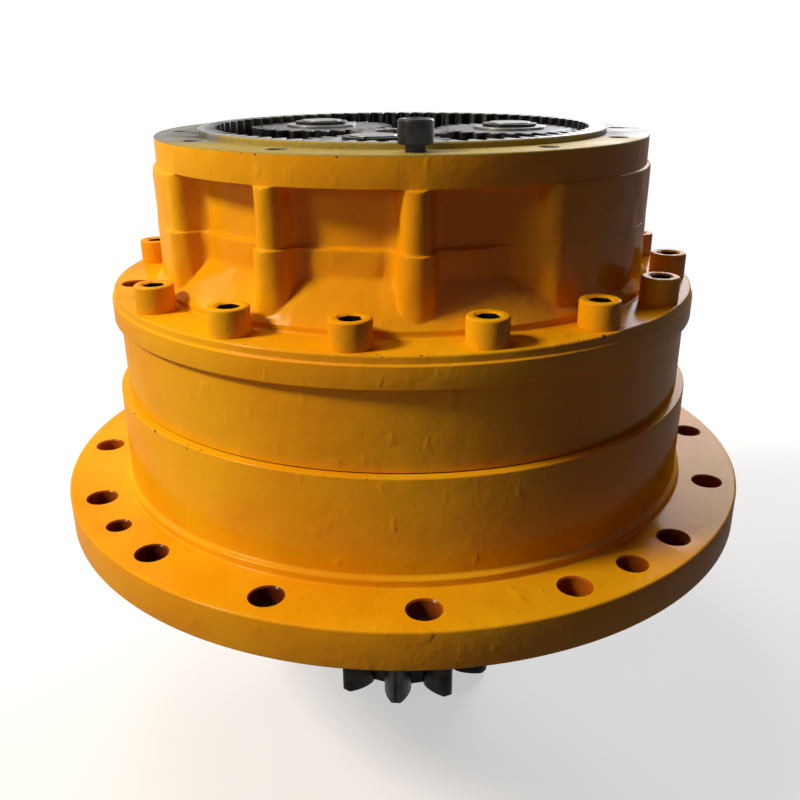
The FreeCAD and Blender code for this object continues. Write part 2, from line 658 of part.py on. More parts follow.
def shaft_seal():
    """Seal with a metal case outside and a soft lip that runs on the shaft."""
    lip_r = SEAL_LAND_R + RUNNING_GAP
    web_z = SEAL_CARRIER_Z + SEAL_WEB_T
    top = LOWER_BEARING_Z - FACE_GAP
    return revolved([(SEAL_R, SEAL_CARRIER_Z), (SEAL_R, top), (SEAL_R - SEAL_CASE_T, top),
                     (SEAL_R - SEAL_CASE_T, web_z), (lip_r + SEAL_CASE_T, web_z),
                     (lip_r, web_z + SEAL_WEB_T), (lip_r, SEAL_CARRIER_Z)])


# Tapered roller bearings

class TaperedBearing:
    """Bearing whose cup's back face stands on the web. turn is +1 above the web, -1 below."""

    CUP_WALL = 0.155            # of the outer radius
    CUP_WIDTH = 0.82            # of the bearing's width
    CUP_ANGLE = 15.6
    CONE_WALL = 0.1             # of the bore radius
    ROLLERS_FROM = 0.09         # of the bearing's width
    ROLLERS_TO = 0.78
    LOW_RIB = 2.5
    HIGH_RIB = 7.0
    CAGE_FROM = 1.0
    CAGE_SHORT = 4.0            # of the bearing's width

    def __init__(self, bore_r, outer_r, width, web_z, turn):
        self.bore_r, self.outer_r, self.width = bore_r, outer_r, width
        self.web_z, self.turn = web_z, turn
        self.cup_slope = math.tan(math.radians(self.CUP_ANGLE))
        self.cup_back_r = outer_r * (1 - self.CUP_WALL)
        self.apex = self.cup_back_r / self.cup_slope
        self.cone_slope = bore_r * (1 + self.CONE_WALL) / self.apex
        self.cup_width = width * self.CUP_WIDTH
        self.roller_start = self.ROLLERS_FROM * width
        self.roller_end = self.ROLLERS_TO * width
        cup_angle, cone_angle = math.atan(self.cup_slope), math.atan(self.cone_slope)
        self.tilt = (cup_angle + cone_angle) / 2
        self.half = (cup_angle - cone_angle) / 2

    def cup_r(self, depth):
        return self.cup_slope * (self.apex + depth)

    def cone_r(self, depth):
        return self.cone_slope * (self.apex + depth)

    def placed(self, corners):
        return revolved([(radius, self.web_z + self.turn * depth) for radius, depth in corners])

    def outer_race(self):
        return self.placed([(self.cup_r(0), 0), (self.outer_r, 0), (self.outer_r, self.cup_width),
                            (self.cup_r(self.cup_width), self.cup_width)])

    def roller_r(self, depth):
        """Roller's radius where its own axis is at that depth."""
        return (self.apex + depth) / math.cos(self.tilt) * math.tan(self.half)

    def inner_race(self):
        """Race with a low rib at the rollers' small ends and a high one at their large ends."""
        start = self.roller_start - ROLLER_GAP
        end_lean = self.roller_r(self.roller_end) * math.sin(self.tilt)
        end = self.roller_end + end_lean + ROLLER_GAP
        low_rib_r, high_rib_r = self.cone_r(start) + self.LOW_RIB, self.cone_r(end) + self.HIGH_RIB
        return self.placed([(self.bore_r, 0), (low_rib_r, 0), (low_rib_r, start), (self.cone_r(start), start),
                            (self.cone_r(end), end), (high_rib_r, end), (high_rib_r, self.width),
                            (self.bore_r, self.width)])

    def along(self, angle, depth):
        """Point on the axis of the roller at that angle."""
        radius = (self.apex + depth) * math.tan(self.tilt)
        return at_angle(radius, angle, self.web_z + self.turn * depth)

    def rollers(self):
        """Cones that touch both races, with their tips on the shaft axis."""
        rollers = []
        for angle in places(ROLLERS, 180.0 / ROLLERS):
            start, end = self.along(angle, self.roller_start), self.along(angle, self.roller_end)
            rollers.append(Part.makeCone(self.roller_r(self.roller_start) - RUNNING_GAP,
                                         self.roller_r(self.roller_end) - RUNNING_GAP,
                                         (end - start).Length, start, end - start))
        return Part.Compound(rollers)

    def cage(self):
        """Sheet cage with a window round each roller and a bar between them."""
        def middle(depth):
            return (self.apex + depth) * math.tan(self.tilt)
        first, last = self.CAGE_FROM, self.width - self.CAGE_SHORT
        ring = self.placed([(middle(first) - CAGE_T / 2, first), (middle(first) + CAGE_T / 2, first),
                            (middle(last) + CAGE_T / 2, last), (middle(last) - CAGE_T / 2, last)])
        return drilled(ring, [self.cage_window(angle) for angle in places(ROLLERS, 180.0 / ROLLERS)])

    def cage_window(self, angle):
        """Wedge round one roller, wider than it and cut off square at its ends."""
        start, end = self.roller_start - ROLLER_GAP, self.roller_end + ROLLER_GAP
        corners = []
        for depth, hand in ((start, -1), (start, 1), (end, 1), (end, -1)):
            half_width = self.roller_r(depth) + 2 * ROLLER_GAP
            corners.append(self.along(angle, depth) + at_angle(hand * half_width, angle + 90))
        across = at_angle(math.cos(self.tilt), angle, -self.turn * math.sin(self.tilt))
        face = Part.Face(Part.makePolygon(corners + corners[:1]))
        face.translate(across * -CAGE_T * 2)
        return face.extrude(across * CAGE_T * 4)


LOWER_BEARING = TaperedBearing(LOWER_BEARING_BORE_R, LOWER_BEARING_R, LOWER_BEARING_W, BEARING_WEB_Z, -1)
UPPER_BEARING = TaperedBearing(UPPER_BEARING_BORE_R, UPPER_BEARING_R, UPPER_BEARING_W, BEARING_WEB_TOP, 1)


def bearing_spacer():
    return tube(UPPER_BEARING_BORE_R + SPACER_WALL, UPPER_BEARING_BORE_R, BEARING_WEB_Z, BEARING_WEB_TOP)


def lock_washer():
    return tube(NUT_R - LOCK_WASHER_STEP, UPPER_BEARING_BORE_R, UPPER_BEARING_TOP, NUT_Z)


def shaft_nut():
    nut = tube(NUT_R, UPPER_BEARING_BORE_R, NUT_Z, NUT_Z + NUT_H)
    slots = []
    for angle in places(NUT_SLOTS, NUT_SLOTS_AT):
        slot = Part.makeBox(NUT_SLOT_W, 2 * NUT_SLOT_DEPTH, NUT_H + 2 * CUT_OVER,
                            FreeCAD.Vector(-NUT_SLOT_W / 2, -NUT_R - NUT_SLOT_DEPTH, NUT_Z - CUT_OVER))
        slot.rotate(FreeCAD.Vector(), FreeCAD.Vector(0, 0, 1), angle)
        slots.append(slot)
    return drilled(nut, slots)


# Output shaft with its pinion

def pinion_teeth():
    """Pinion with shifted teeth and both ends of the teeth chamfered."""
    shift = PINION_SHIFT * PINION_MODULE
    low_r = PINION_MODULE * (PINION_TEETH / 2 - DEDENDUM) + shift
    high_r = PINION_MODULE * (PINION_TEETH / 2 + ADDENDUM) + shift
    thickness = (PINION_MODULE * math.pi / 2 - BACKLASH
                 + 2 * shift * math.tan(math.radians(PRESSURE_ANGLE)))
    teeth = gear(PINION_TEETH, PINION_MODULE, PINION_END_Z, PINION_TOP_Z, 0, PINION_FRONT_TOOTH,
                 low_r, high_r, thickness)
    over = PINION_CHAMFER + CUT_OVER
    blank = revolved([(0, PINION_END_Z), (high_r - PINION_CHAMFER, PINION_END_Z),
                      (high_r + CUT_OVER, PINION_END_Z + over), (high_r + CUT_OVER, PINION_TOP_Z - over),
                      (high_r - PINION_CHAMFER, PINION_TOP_Z), (0, PINION_TOP_Z)])
    return teeth.common(blank)


def pinion_shaft():
    journal = revolved([
        (0, PINION_TOP_Z - CUT_OVER), (SHOULDER_R, PINION_TOP_Z - CUT_OVER), (SHOULDER_R, NECK_RING_Z),
        (SEAL_LAND_R, SEAL_CARRIER_Z), (SEAL_LAND_R, LOWER_BEARING_Z),
        (LOWER_BEARING_BORE_R, LOWER_BEARING_Z), (LOWER_BEARING_BORE_R, BEARING_WEB_Z),
        (UPPER_BEARING_BORE_R, BEARING_WEB_Z), (UPPER_BEARING_BORE_R, NUT_Z + NUT_H),
        (0, NUT_Z + NUT_H)])
    splined = spline(SPLINE_R, SPLINE_TEETH, SPLINE_DEPTH, NUT_Z + NUT_H, SHAFT_END_Z)
    shaft = joined([pinion_teeth(), journal, splined])
    centre_hole = Part.makeCone(CENTRE_HOLE_R, CENTRE_HOLE_END_R, CENTRE_HOLE_DEPTH,
                                FreeCAD.Vector(0, 0, PINION_END_Z))
    return shaft.cut(centre_hole)


# Second stage

def planet_angles(first):
    return places(PLANETS, first)


def second_carrier():
    """One-piece carrier: hub, two plates and the posts left between the planet windows."""
    body = revolved([
        (0, HUB_Z), (SECOND_HUB_R, HUB_Z), (SECOND_HUB_R, SECOND_PLATE_Z),
        (SECOND_CARRIER_R, SECOND_PLATE_Z, EDGE_BEVEL), (SECOND_CARRIER_R, SECOND_CARRIER_TOP, EDGE_BEVEL),
        (0, SECOND_CARRIER_TOP)])
    cutters = [cylinder(SECOND_SUN_HOLE_R, SECOND_PLATE_TOP, SECOND_CARRIER_TOP + CUT_OVER),
               spline(SPLINE_R + RUNNING_GAP, SPLINE_TEETH, SPLINE_DEPTH, HUB_Z - CUT_OVER,
                      SECOND_PLATE_TOP + CUT_OVER)]
    for angle in planet_angles(SECOND_PLANETS_AT):
        centre = at_angle(SECOND.centre_r, angle)
        cutters.append(cylinder(SECOND_WINDOW_R, SECOND_PLATE_TOP, SECOND_TOP_PLATE_Z, centre))
        cutters.append(cylinder(SECOND_PIN_R, SECOND_PLATE_Z - CUT_OVER, SECOND_CARRIER_TOP + CUT_OVER,
                                centre))
    return drilled(body, cutters)


def second_pins():
    return Part.Compound([cylinder(SECOND_PIN_R, SECOND_PLATE_Z, SECOND_CARRIER_TOP,
                                   at_angle(SECOND.centre_r, angle))
                          for angle in planet_angles(SECOND_PLANETS_AT)])


def second_thrust_washers():
    washers = []
    for angle in planet_angles(SECOND_PLANETS_AT):
        centre = at_angle(SECOND.centre_r, angle)
        for low, high in ((SECOND_PLATE_TOP, SECOND_FACE_Z - RUNNING_GAP),
                          (SECOND_FACE_Z + SECOND_FACE + RUNNING_GAP, SECOND_TOP_PLATE_Z)):
            washers.append(tube(SECOND_PIN_R + THRUST_WASHER_W, SECOND_PIN_R, low, high, centre))
    return Part.Compound(washers)


def meshed_planet_tooth(stage, planet_angle, ring_space):
    """Angle of one planet tooth, about the planet's own centre, that fills a ring space."""
    return planet_angle + (ring_space - planet_angle) * stage.ring / stage.planet


def meshed_sun_tooth(stage, planet_angle, ring_space):
    """Angle of one sun tooth that fills a space of the planet."""
    planet_tooth = meshed_planet_tooth(stage, planet_angle, ring_space)
    facing = planet_angle + 180.0 + 180.0 / stage.planet
    return planet_angle - (planet_tooth - facing) * stage.planet / stage.sun


def planet(stage, angle, ring_space, bore_r, z_low, z_high):
    """Planet gear in mesh with its ring."""
    tooth = meshed_planet_tooth(stage, angle, ring_space)
    wheel = gear(stage.planet, stage.module, z_low, z_high, bore_r, tooth)
    wheel.translate(at_angle(stage.centre_r, angle))
    return wheel


def bush(stage, angle, pin_r, wall, z_low, z_high):
    return tube(pin_r + wall, pin_r + RUNNING_GAP, z_low, z_high, at_angle(stage.centre_r, angle))


def second_sun():
    """Second sun: its gear below, a neck, and the spline that the first carrier drives."""
    tooth = meshed_sun_tooth(SECOND, SECOND_PLANETS_AT, second_space())
    gear_top = SECOND_FACE_Z + SECOND_FACE
    wheel = gear(SECOND_SUN_TEETH, SECOND_MODULE, SECOND_FACE_Z, gear_top, 0, tooth)
    neck = cylinder(SUN_NECK_R, gear_top, SUN_THRUST_Z)
    groove_top = PLATE_RECESS_Z + SNAP_RING_T
    splines = [spline(SUN_SPLINE_R, SUN_SPLINE_TEETH, SUN_SPLINE_DEPTH, low, high)
               for low, high in ((FIRST_HUB_Z - SPLINE_OVERRUN, PLATE_RECESS_Z), (groove_top, SUN_THRUST_Z))]
    return joined([wheel, neck] + splines)


def shaft_thrust_button():
    return cylinder(SECOND_BUTTON_R, SHAFT_END_Z, SECOND_FACE_Z - RUNNING_GAP)


# First stage

def first_carrier():
    """Plate with three pin bores, and a splined hub below it."""
    body = revolved([
        (0, FIRST_HUB_Z), (FIRST_HUB_R, FIRST_HUB_Z), (FIRST_HUB_R, FIRST_PLATE_Z),
        (FIRST_CARRIER_R, FIRST_PLATE_Z, EDGE_BEVEL), (FIRST_CARRIER_R, FIRST_PLATE_TOP, EDGE_BEVEL),
        (0, FIRST_PLATE_TOP)])
    cutters = [cylinder(PLATE_RECESS_R, PLATE_RECESS_Z, FIRST_PLATE_TOP + CUT_OVER),
               spline(SUN_SPLINE_R + RUNNING_GAP, SUN_SPLINE_TEETH, SUN_SPLINE_DEPTH,
                      FIRST_HUB_Z - CUT_OVER, PLATE_RECESS_Z + CUT_OVER)]
    for angle in planet_angles(FIRST_PLANETS_AT):
        cutters.append(cylinder(FIRST_PIN_R, FIRST_PLATE_Z - CUT_OVER, FIRST_PLATE_TOP + CUT_OVER,
                                at_angle(FIRST.centre_r, angle)))
    return drilled(body, cutters)


def first_pins():
    """Pins pressed in the plate, each with a groove for its snap ring."""
    groove_z = FIRST_FACE_TOP + THRUST_WASHER_T
    groove_r = FIRST_PIN_R - PIN_GROOVE
    groove_top = groove_z + SNAP_RING_T
    pins = []
    for angle in planet_angles(FIRST_PLANETS_AT):
        pin = revolved([(0, FIRST_PLATE_Z), (FIRST_PIN_R, FIRST_PLATE_Z), (FIRST_PIN_R, groove_z),
                        (groove_r, groove_z), (groove_r, groove_top), (FIRST_PIN_R, groove_top),
                        (FIRST_PIN_R, groove_top + PIN_TIP), (0, groove_top + PIN_TIP)])
        pin.translate(at_angle(FIRST.centre_r, angle))
        pins.append(pin)
    return Part.Compound(pins)


def first_thrust_washers():
    washers = []
    for angle in planet_angles(FIRST_PLANETS_AT):
        centre = at_angle(FIRST.centre_r, angle)
        for low, high in ((FIRST_PLATE_TOP, FIRST_FACE_Z - RUNNING_GAP),
                          (FIRST_FACE_TOP + RUNNING_GAP, FIRST_FACE_TOP + THRUST_WASHER_T)):
            washers.append(tube(FIRST_PIN_R + THRUST_WASHER_W, FIRST_PIN_R, low, high, centre))
    return Part.Compound(washers)


def first_snap_rings():
    low = FIRST_FACE_TOP + THRUST_WASHER_T
    outer_r = FIRST_PIN_R - PIN_GROOVE + SNAP_RING_W
    return Part.Compound([snap_ring(outer_r, SNAP_RING_W, low, SNAP_RING_T,
                                    at_angle(FIRST.centre_r, angle), angle)
                          for angle in planet_angles(FIRST_PLANETS_AT)])


def sun_snap_ring():
    return snap_ring(SUN_NECK_R + SNAP_RING_W, SNAP_RING_W, PLATE_RECESS_Z, SNAP_RING_T,
                     FreeCAD.Vector(), 0)


def sun_thrust_plate():
    return cylinder(PLATE_RECESS_R - SUN_THRUST_GAP, SUN_THRUST_Z, FIRST_FACE_Z - RUNNING_GAP)


def first_sun():
    """First sun with the splined socket that the motor's shaft enters."""
    tooth = meshed_sun_tooth(FIRST, FIRST_PLANETS_AT, first_space())
    wheel = gear(FIRST_SUN_TEETH, FIRST_MODULE, FIRST_FACE_Z, FIRST_FACE_TOP, 0, tooth)
    socket = spline(SOCKET_R, SOCKET_TEETH, SOCKET_TOOTH_DEPTH, FIRST_FACE_TOP - SOCKET_DEPTH,
                    FIRST_FACE_TOP + CUT_OVER)
    return wheel.cut(socket)


def all_parts():
    """Every node's name with its shape."""
    parts = {
        "lower_casing": lower_casing(),
        "second_ring_gear": second_ring_gear(),
        "upper_casing": upper_casing(),
        "first_ring_gear": first_ring_gear(),
        "flange_screws": flange_screws(),
        "motor_screw": motor_screw(),
        "casing_dowels": casing_dowels(),
        "seal_carrier": seal_carrier(),
        "neck_snap_ring": neck_snap_ring(),
        "shaft_seal": shaft_seal(),
        "bearing_spacer": bearing_spacer(),
        "lock_washer": lock_washer(),
        "shaft_nut": shaft_nut(),
        "pinion_shaft": pinion_shaft(),
        "second_carrier": second_carrier(),
        "second_pins": second_pins(),
        "second_thrust_washers": second_thrust_washers(),
        "second_sun": second_sun(),
        "shaft_thrust_button": shaft_thrust_button(),
        "first_carrier": first_carrier(),
        "first_pins": first_pins(),
        "first_thrust_washers": first_thrust_washers(),
        "first_snap_rings": first_snap_rings(),
        "sun_snap_ring": sun_snap_ring(),
        "sun_thrust_plate": sun_thrust_plate(),
        "first_sun": first_sun(),
    }
    for side, bearing in (("lower", LOWER_BEARING), ("upper", UPPER_BEARING)):
        parts[side + "_bearing_outer_race"] = bearing.outer_race()
        parts[side + "_bearing_inner_race"] = bearing.inner_race()
        parts[side + "_bearing_rollers"] = bearing.rollers()
        parts[side + "_bearing_cage"] = bearing.cage()
    second_top = SECOND_FACE_Z + SECOND_FACE
    for number, angle in enumerate(planet_angles(SECOND_PLANETS_AT), 1):
        parts["second_planet_%d" % number] = planet(
            SECOND, angle, second_space(), SECOND_PIN_R + SECOND_BUSH_T, SECOND_FACE_Z, second_top)
        parts["second_bush_%d" % number] = bush(
            SECOND, angle, SECOND_PIN_R, SECOND_BUSH_T, SECOND_FACE_Z, second_top)
    for number, angle in enumerate(planet_angles(FIRST_PLANETS_AT), 1):
        parts["first_planet_%d" % number] = planet(
            FIRST, angle, first_space(), FIRST_PIN_R + FIRST_BUSH_T, FIRST_FACE_Z, FIRST_FACE_TOP)
        parts["first_bush_%d" % number] = bush(
            FIRST, angle, FIRST_PIN_R, FIRST_BUSH_T, FIRST_FACE_Z, FIRST_FACE_TOP)
    return parts


def main():
    os.makedirs("parts", exist_ok=True)
    for name, shape in all_parts().items():
        shape.exportStep("parts/%s.step" % name)


main()
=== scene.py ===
"""Dresses the swing gearbox: enamelled casings, machined faces, gears, bearings and output pinion.

Lengths are in metres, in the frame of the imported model: +Z is up along the gear axis, -Y is the front and
z = 0 is the underside of the mounting flange. A turn is an angle in degrees from the front towards +X.
"""
import json
import logging
import math
import random
from dataclasses import dataclass
from enum import IntEnum
from typing import Callable, Iterable, Sequence

import bmesh
import bpy
from bmesh.types import BMEdge, BMesh, BMFace, BMVert
from bpy.types import Material, Mesh, Node, NodeSocket, NodeTree, Object
from mathutils import Matrix, Vector, noise

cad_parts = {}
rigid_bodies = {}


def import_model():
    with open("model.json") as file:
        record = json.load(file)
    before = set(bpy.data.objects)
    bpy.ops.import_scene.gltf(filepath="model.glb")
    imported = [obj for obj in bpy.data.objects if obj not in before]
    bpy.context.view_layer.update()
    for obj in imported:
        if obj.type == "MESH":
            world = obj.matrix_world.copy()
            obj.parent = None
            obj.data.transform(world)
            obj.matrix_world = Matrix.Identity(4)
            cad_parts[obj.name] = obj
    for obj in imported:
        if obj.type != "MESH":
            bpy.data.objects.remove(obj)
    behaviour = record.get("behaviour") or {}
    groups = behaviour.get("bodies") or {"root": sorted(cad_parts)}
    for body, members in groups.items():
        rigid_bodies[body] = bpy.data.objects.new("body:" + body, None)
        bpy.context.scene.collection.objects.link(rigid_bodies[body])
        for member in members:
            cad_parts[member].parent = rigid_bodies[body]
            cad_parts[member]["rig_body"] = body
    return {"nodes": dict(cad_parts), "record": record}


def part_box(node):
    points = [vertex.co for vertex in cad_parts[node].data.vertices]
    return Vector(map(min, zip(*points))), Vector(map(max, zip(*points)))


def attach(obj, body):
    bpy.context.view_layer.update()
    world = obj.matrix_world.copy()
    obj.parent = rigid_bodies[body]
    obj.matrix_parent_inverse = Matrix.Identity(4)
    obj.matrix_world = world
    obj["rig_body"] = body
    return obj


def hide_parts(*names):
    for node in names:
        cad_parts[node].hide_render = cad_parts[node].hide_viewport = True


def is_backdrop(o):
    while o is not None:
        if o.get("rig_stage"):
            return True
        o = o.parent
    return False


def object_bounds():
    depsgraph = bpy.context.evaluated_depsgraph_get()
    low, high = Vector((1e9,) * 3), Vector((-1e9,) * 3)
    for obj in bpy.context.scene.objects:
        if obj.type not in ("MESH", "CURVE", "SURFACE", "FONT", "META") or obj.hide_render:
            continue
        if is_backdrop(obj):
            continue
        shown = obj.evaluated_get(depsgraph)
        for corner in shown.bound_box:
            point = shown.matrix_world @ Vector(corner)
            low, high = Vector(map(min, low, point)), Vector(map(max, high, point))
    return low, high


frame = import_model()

LOG = logging.getLogger("swing_gearbox")
SLOTS = {part["node"]: part["material_slot"] for part in frame["record"]["subparts"]}
MERGE = 1e-6                    # vertices nearer than this are one
TOUCH = 0.0002                  # how far a cut runs past a face
SHARP = math.radians(32)        # an edge that turns by more than this stays sharp
COPLANAR = math.radians(0.5)    # faces that turn by less than this become one
FLAT = 0.9                      # a face lies level where its normal's height is more than this

Section = list[tuple[float, float, int]]


class Surface(IntEnum):
    """Which finish a stretch of a casing has."""

    PAINTED = 0
    MACHINED = 1
    INSIDE = 2
    BORE = 3


@dataclass(frozen=True)
class Corner:
    """A corner of a turned outline; its surface and its cuts lie between it and the next corner."""

    radius: float
    height: float
    rounding: float = 0.0
    surface: Surface = Surface.PAINTED
    cuts: int = 0


@dataclass(frozen=True)
class Hole:
    """An upright round hole, countersunk at one or both ends."""

    radius: float
    circle: float
    turn: float
    top: float
    bottom: float
    countersink: float = 0.0
    countersink_below: float = 0.0
    surface: Surface = Surface.INSIDE


def around(radius: float, turn: float, height: float = 0.0) -> Vector:
    """Gives the point at a radius and a turn.

    Args:
        radius: Distance from the gear axis.
        turn: Degrees from the front towards +X.
        height: Height of the point.

    Returns:
        The point in the model's frame.
    """
    angle = math.radians(turn)
    return Vector((radius * math.sin(angle), -radius * math.cos(angle), height))


def spaced(count: int, first: float = 0.0) -> list[float]:
    """Gives so many equally spaced turns, from the first one on."""
    return [first + 360.0 * index / count for index in range(count)]


def faded(value: float, start: float, width: float) -> float:
    """Rises from 0 at the start to 1 a width further on."""
    return min(max((value - start) / width, 0.0), 1.0)


def rounded(corners: Sequence[Corner], steps: int = 4) -> Section:
    """Draws a closed outline, with an arc at each corner that has a rounding.

    Args:
        corners: The corners in order.
        steps: Chords in each arc.

    Returns:
        Radius, height and surface of each point.
    """
    arcs: list[list[Vector]] = []
    for index, corner in enumerate(corners):
        point = Vector((corner.radius, corner.height))
        if corner.rounding == 0.0:
            arcs.append([point])
            continue
        before, after = corners[index - 1], corners[(index + 1) % len(corners)]
        back = (Vector((before.radius, before.height)) - point).normalized()
        ahead = (Vector((after.radius, after.height)) - point).normalized()
        half = back.angle(ahead) / 2
        centre = point + (back + ahead).normalized() * corner.rounding / math.sin(half)
        start = point + back * corner.rounding / math.tan(half) - centre
        end = point + ahead * corner.rounding / math.tan(half) - centre
        arcs.append([centre + start.slerp(end, step / steps) * corner.rounding for step in range(steps + 1)])
    section: Section = []
    for index, corner in enumerate(corners):
        start, end = arcs[index][-1], arcs[(index + 1) % len(arcs)][0]
        between = [start.lerp(end, (cut + 1) / (corner.cuts + 1)) for cut in range(corner.cuts)]
        section += [(spot.x, spot.y, corner.surface) for spot in arcs[index] + between]
    return section


def clean(body: BMesh) -> None:
    """Merges doubled vertices and turns every face outwards."""
    bmesh.ops.remove_doubles(body, verts=body.verts, dist=MERGE)
    bmesh.ops.recalc_face_normals(body, faces=body.faces)


def skinned(turns: Sequence[float], section_at: Callable[[float], Section]) -> BMesh:
    """Skins a closed body round the gear axis, through one section at each turn.

    Args:
        turns: Where the sections stand, in order round the axis.
        section_at: Gives the section at a turn, always with the same number of points.

    Returns:
        The body, with each face's surface as its material number.
    """
    body = bmesh.new()
    station = body.verts.layers.int.new("station")
    sections = [section_at(turn) for turn in turns]
    ring = bmesh.ops.create_circle(body, segments=len(turns), radius=1.0)["verts"]
    for index, vertex in enumerate(ring):
        vertex[station] = index
    edges = body.edges[:]
    rows = len(sections[0])
    for row in range(rows + 1):
        for vertex in ring:
            radius, height, _ = sections[vertex[station]][row % rows]
            vertex.co = around(radius, turns[vertex[station]], height)
        if row == rows:
            break
        made = bmesh.ops.extrude_edge_only(body, edges=edges)["geom"]
        ring = [item for item in made if isinstance(item, BMVert)]
        moved = set(ring)
        edges = [item for item in made if isinstance(item, BMEdge) and moved.issuperset(item.verts)]
        for face in (item for item in made if isinstance(item, BMFace)):
            face.material_index = sections[0][row][2]
    clean(body)
    return body


def spun(body: BMesh, outline: Sequence[tuple[float, float]], centre: Vector, steps: int) -> None:
    """Adds a turned skin to a body.

    Args:
        body: The mesh that it is added to.
        outline: Radius and height of each point, from one end to the other.
        centre: A point on the upright line that the outline turns about.
        steps: Chords round the circle.
    """
    chain = [body.verts.new((centre.x + radius, centre.y, height)) for radius, height in outline]
    links = [body.edges.new(pair) for pair in zip(chain, chain[1:])]
    bmesh.ops.spin(body, geom=chain + links, cent=(centre.x, centre.y, 0), axis=(0, 0, 1), angle=math.tau,
                   steps=steps, use_merge=True)


def shade(mesh: Mesh) -> None:
    """Shades a mesh smooth except at its sharp edges."""
    mesh.shade_smooth()
    mesh.set_sharp_from_angle(angle=SHARP)


def finished(name: str, body: BMesh, *finishes: "Finish") -> Object:
    """Makes an object of a body.

    Args:
        name: The piece's name.
        body: Its mesh, which is freed.
        finishes: Its finishes, in the order of its faces' material numbers.

    Returns:
        The new object, linked to the scene.
    """
    mesh = bpy.data.meshes.new(name)
    body.to_mesh(mesh)
    body.free()
    shade(mesh)
    for finish in finishes:
        mesh.materials.append(finish.material())
    made = bpy.data.objects.new(name, mesh)
    bpy.context.scene.collection.objects.link(made)
    return made


def drill(piece: Object, holes: Iterable[Hole], steps: int = 40) -> None:
    """Cuts holes through a piece.

    Args:
        piece: The piece, whose mesh is replaced.
        holes: The holes to cut.
        steps: Chords round each hole.
    """
    body = bmesh.new()
    for hole in holes:
        before = len(body.faces)
        top, bottom = hole.top + TOUCH, hole.bottom - TOUCH
        wide, wide_below = hole.radius + hole.countersink, hole.radius + hole.countersink_below
        outline = [(0.0, bottom), (wide_below, bottom)]
        if hole.countersink_below:
            outline += [(wide_below, hole.bottom), (hole.radius, hole.bottom + hole.countersink_below)]
        if hole.countersink:
            outline += [(hole.radius, hole.top - hole.countersink), (wide, hole.top)]
        spun(body, outline + [(wide, top), (0.0, top)], around(hole.circle, hole.turn), steps)
        body.faces.ensure_lookup_table()
        for face in body.faces[before:]:
            face.material_index = hole.surface
    clean(body)
    cutter = finished(piece.name + "_cutter", body)
    modifier = piece.modifiers.new("holes", "BOOLEAN")
    modifier.operation = "DIFFERENCE"
    modifier.solver = "MANIFOLD"
    modifier.object = cutter
    bpy.context.view_layer.update()
    whole, cut = piece.data, piece.evaluated_get(bpy.context.evaluated_depsgraph_get())
    piece.data = bpy.data.meshes.new_from_object(cut)
    piece.modifiers.clear()
    bpy.data.meshes.remove(whole)
    bpy.data.objects.remove(cutter)
    shade(piece.data)


def seat(piece: Object, cad_node: str) -> None:
    """Rides a piece on the body of the CAD node that it stands for.

    Args:
        piece: The new piece.
        cad_node: The CAD node, which is hidden.
    """
    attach(piece, frame["nodes"][cad_node]["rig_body"])
    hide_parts(cad_node)
    LOG.info("%s stands for %s, %d faces", piece.name, cad_node, len(piece.data.polygons))


def refined(cad_node: str, name: str, edge: float) -> Object:
    """Copies a CAD node, cleans its faces and rounds its edges.

    Args:
        cad_node: The CAD node.
        name: The new piece's name.
        edge: Width of the rounding.

    Returns:
        The new piece, seated in the node's stead.
    """
    body = bmesh.new()
    body.from_mesh(frame["nodes"][cad_node].data)
    bmesh.ops.remove_doubles(body, verts=body.verts, dist=MERGE)
    bmesh.ops.dissolve_limit(body, angle_limit=COPLANAR, verts=body.verts, edges=body.edges)
    made = finished(name, body)
    bevel = made.modifiers.new("edges", "BEVEL")
    bevel.width = edge
    bevel.segments = 2
    bevel.limit_method = "ANGLE"
    bevel.angle_limit = SHARP
    bevel.harden_normals = True
    seat(made, cad_node)
    return made


def linear(colour: str) -> tuple[float, float, float, float]:
    """Turns an sRGB hex colour to linear values.

    Args:
        colour: The colour as #RRGGBB.

    Returns:
        Red, green, blue and an alpha of 1.
    """
    shares = [int(colour[at:at + 2], 16) / 255 for at in (1, 3, 5)]
    red, green, blue = (s / 12.92 if s <= 0.04045 else ((s + 0.055) / 1.055) ** 2.4 for s in shares)
    return red, green, blue, 1.0


def node(tree: NodeTree, kind: str, inputs: dict | None = None, **settings: object) -> Node:
    """Adds a node with its settings, values and links.

    A Mix node that is set to RGBA has its two colours on sockets 6 and 7 and gives its colour on output 2.

    Args:
        tree: The material's or world's node tree.
        kind: The node's type.
        inputs: By socket name or number, a value, a colour as #RRGGBB, the output that is linked to it, or
            the node whose first output is.
        settings: Properties of the node.

    Returns:
        The new node.
    """
    made = tree.nodes.new(kind)
    for name, value in settings.items():
        setattr(made, name, value)
    for key, value in (inputs or {}).items():
        if isinstance(value, (Node, NodeSocket)):
            tree.links.new(value.outputs[0] if isinstance(value, Node) else value, made.inputs[key])
        else:
            made.inputs[key].default_value = linear(value) if isinstance(value, str) else value
    return made


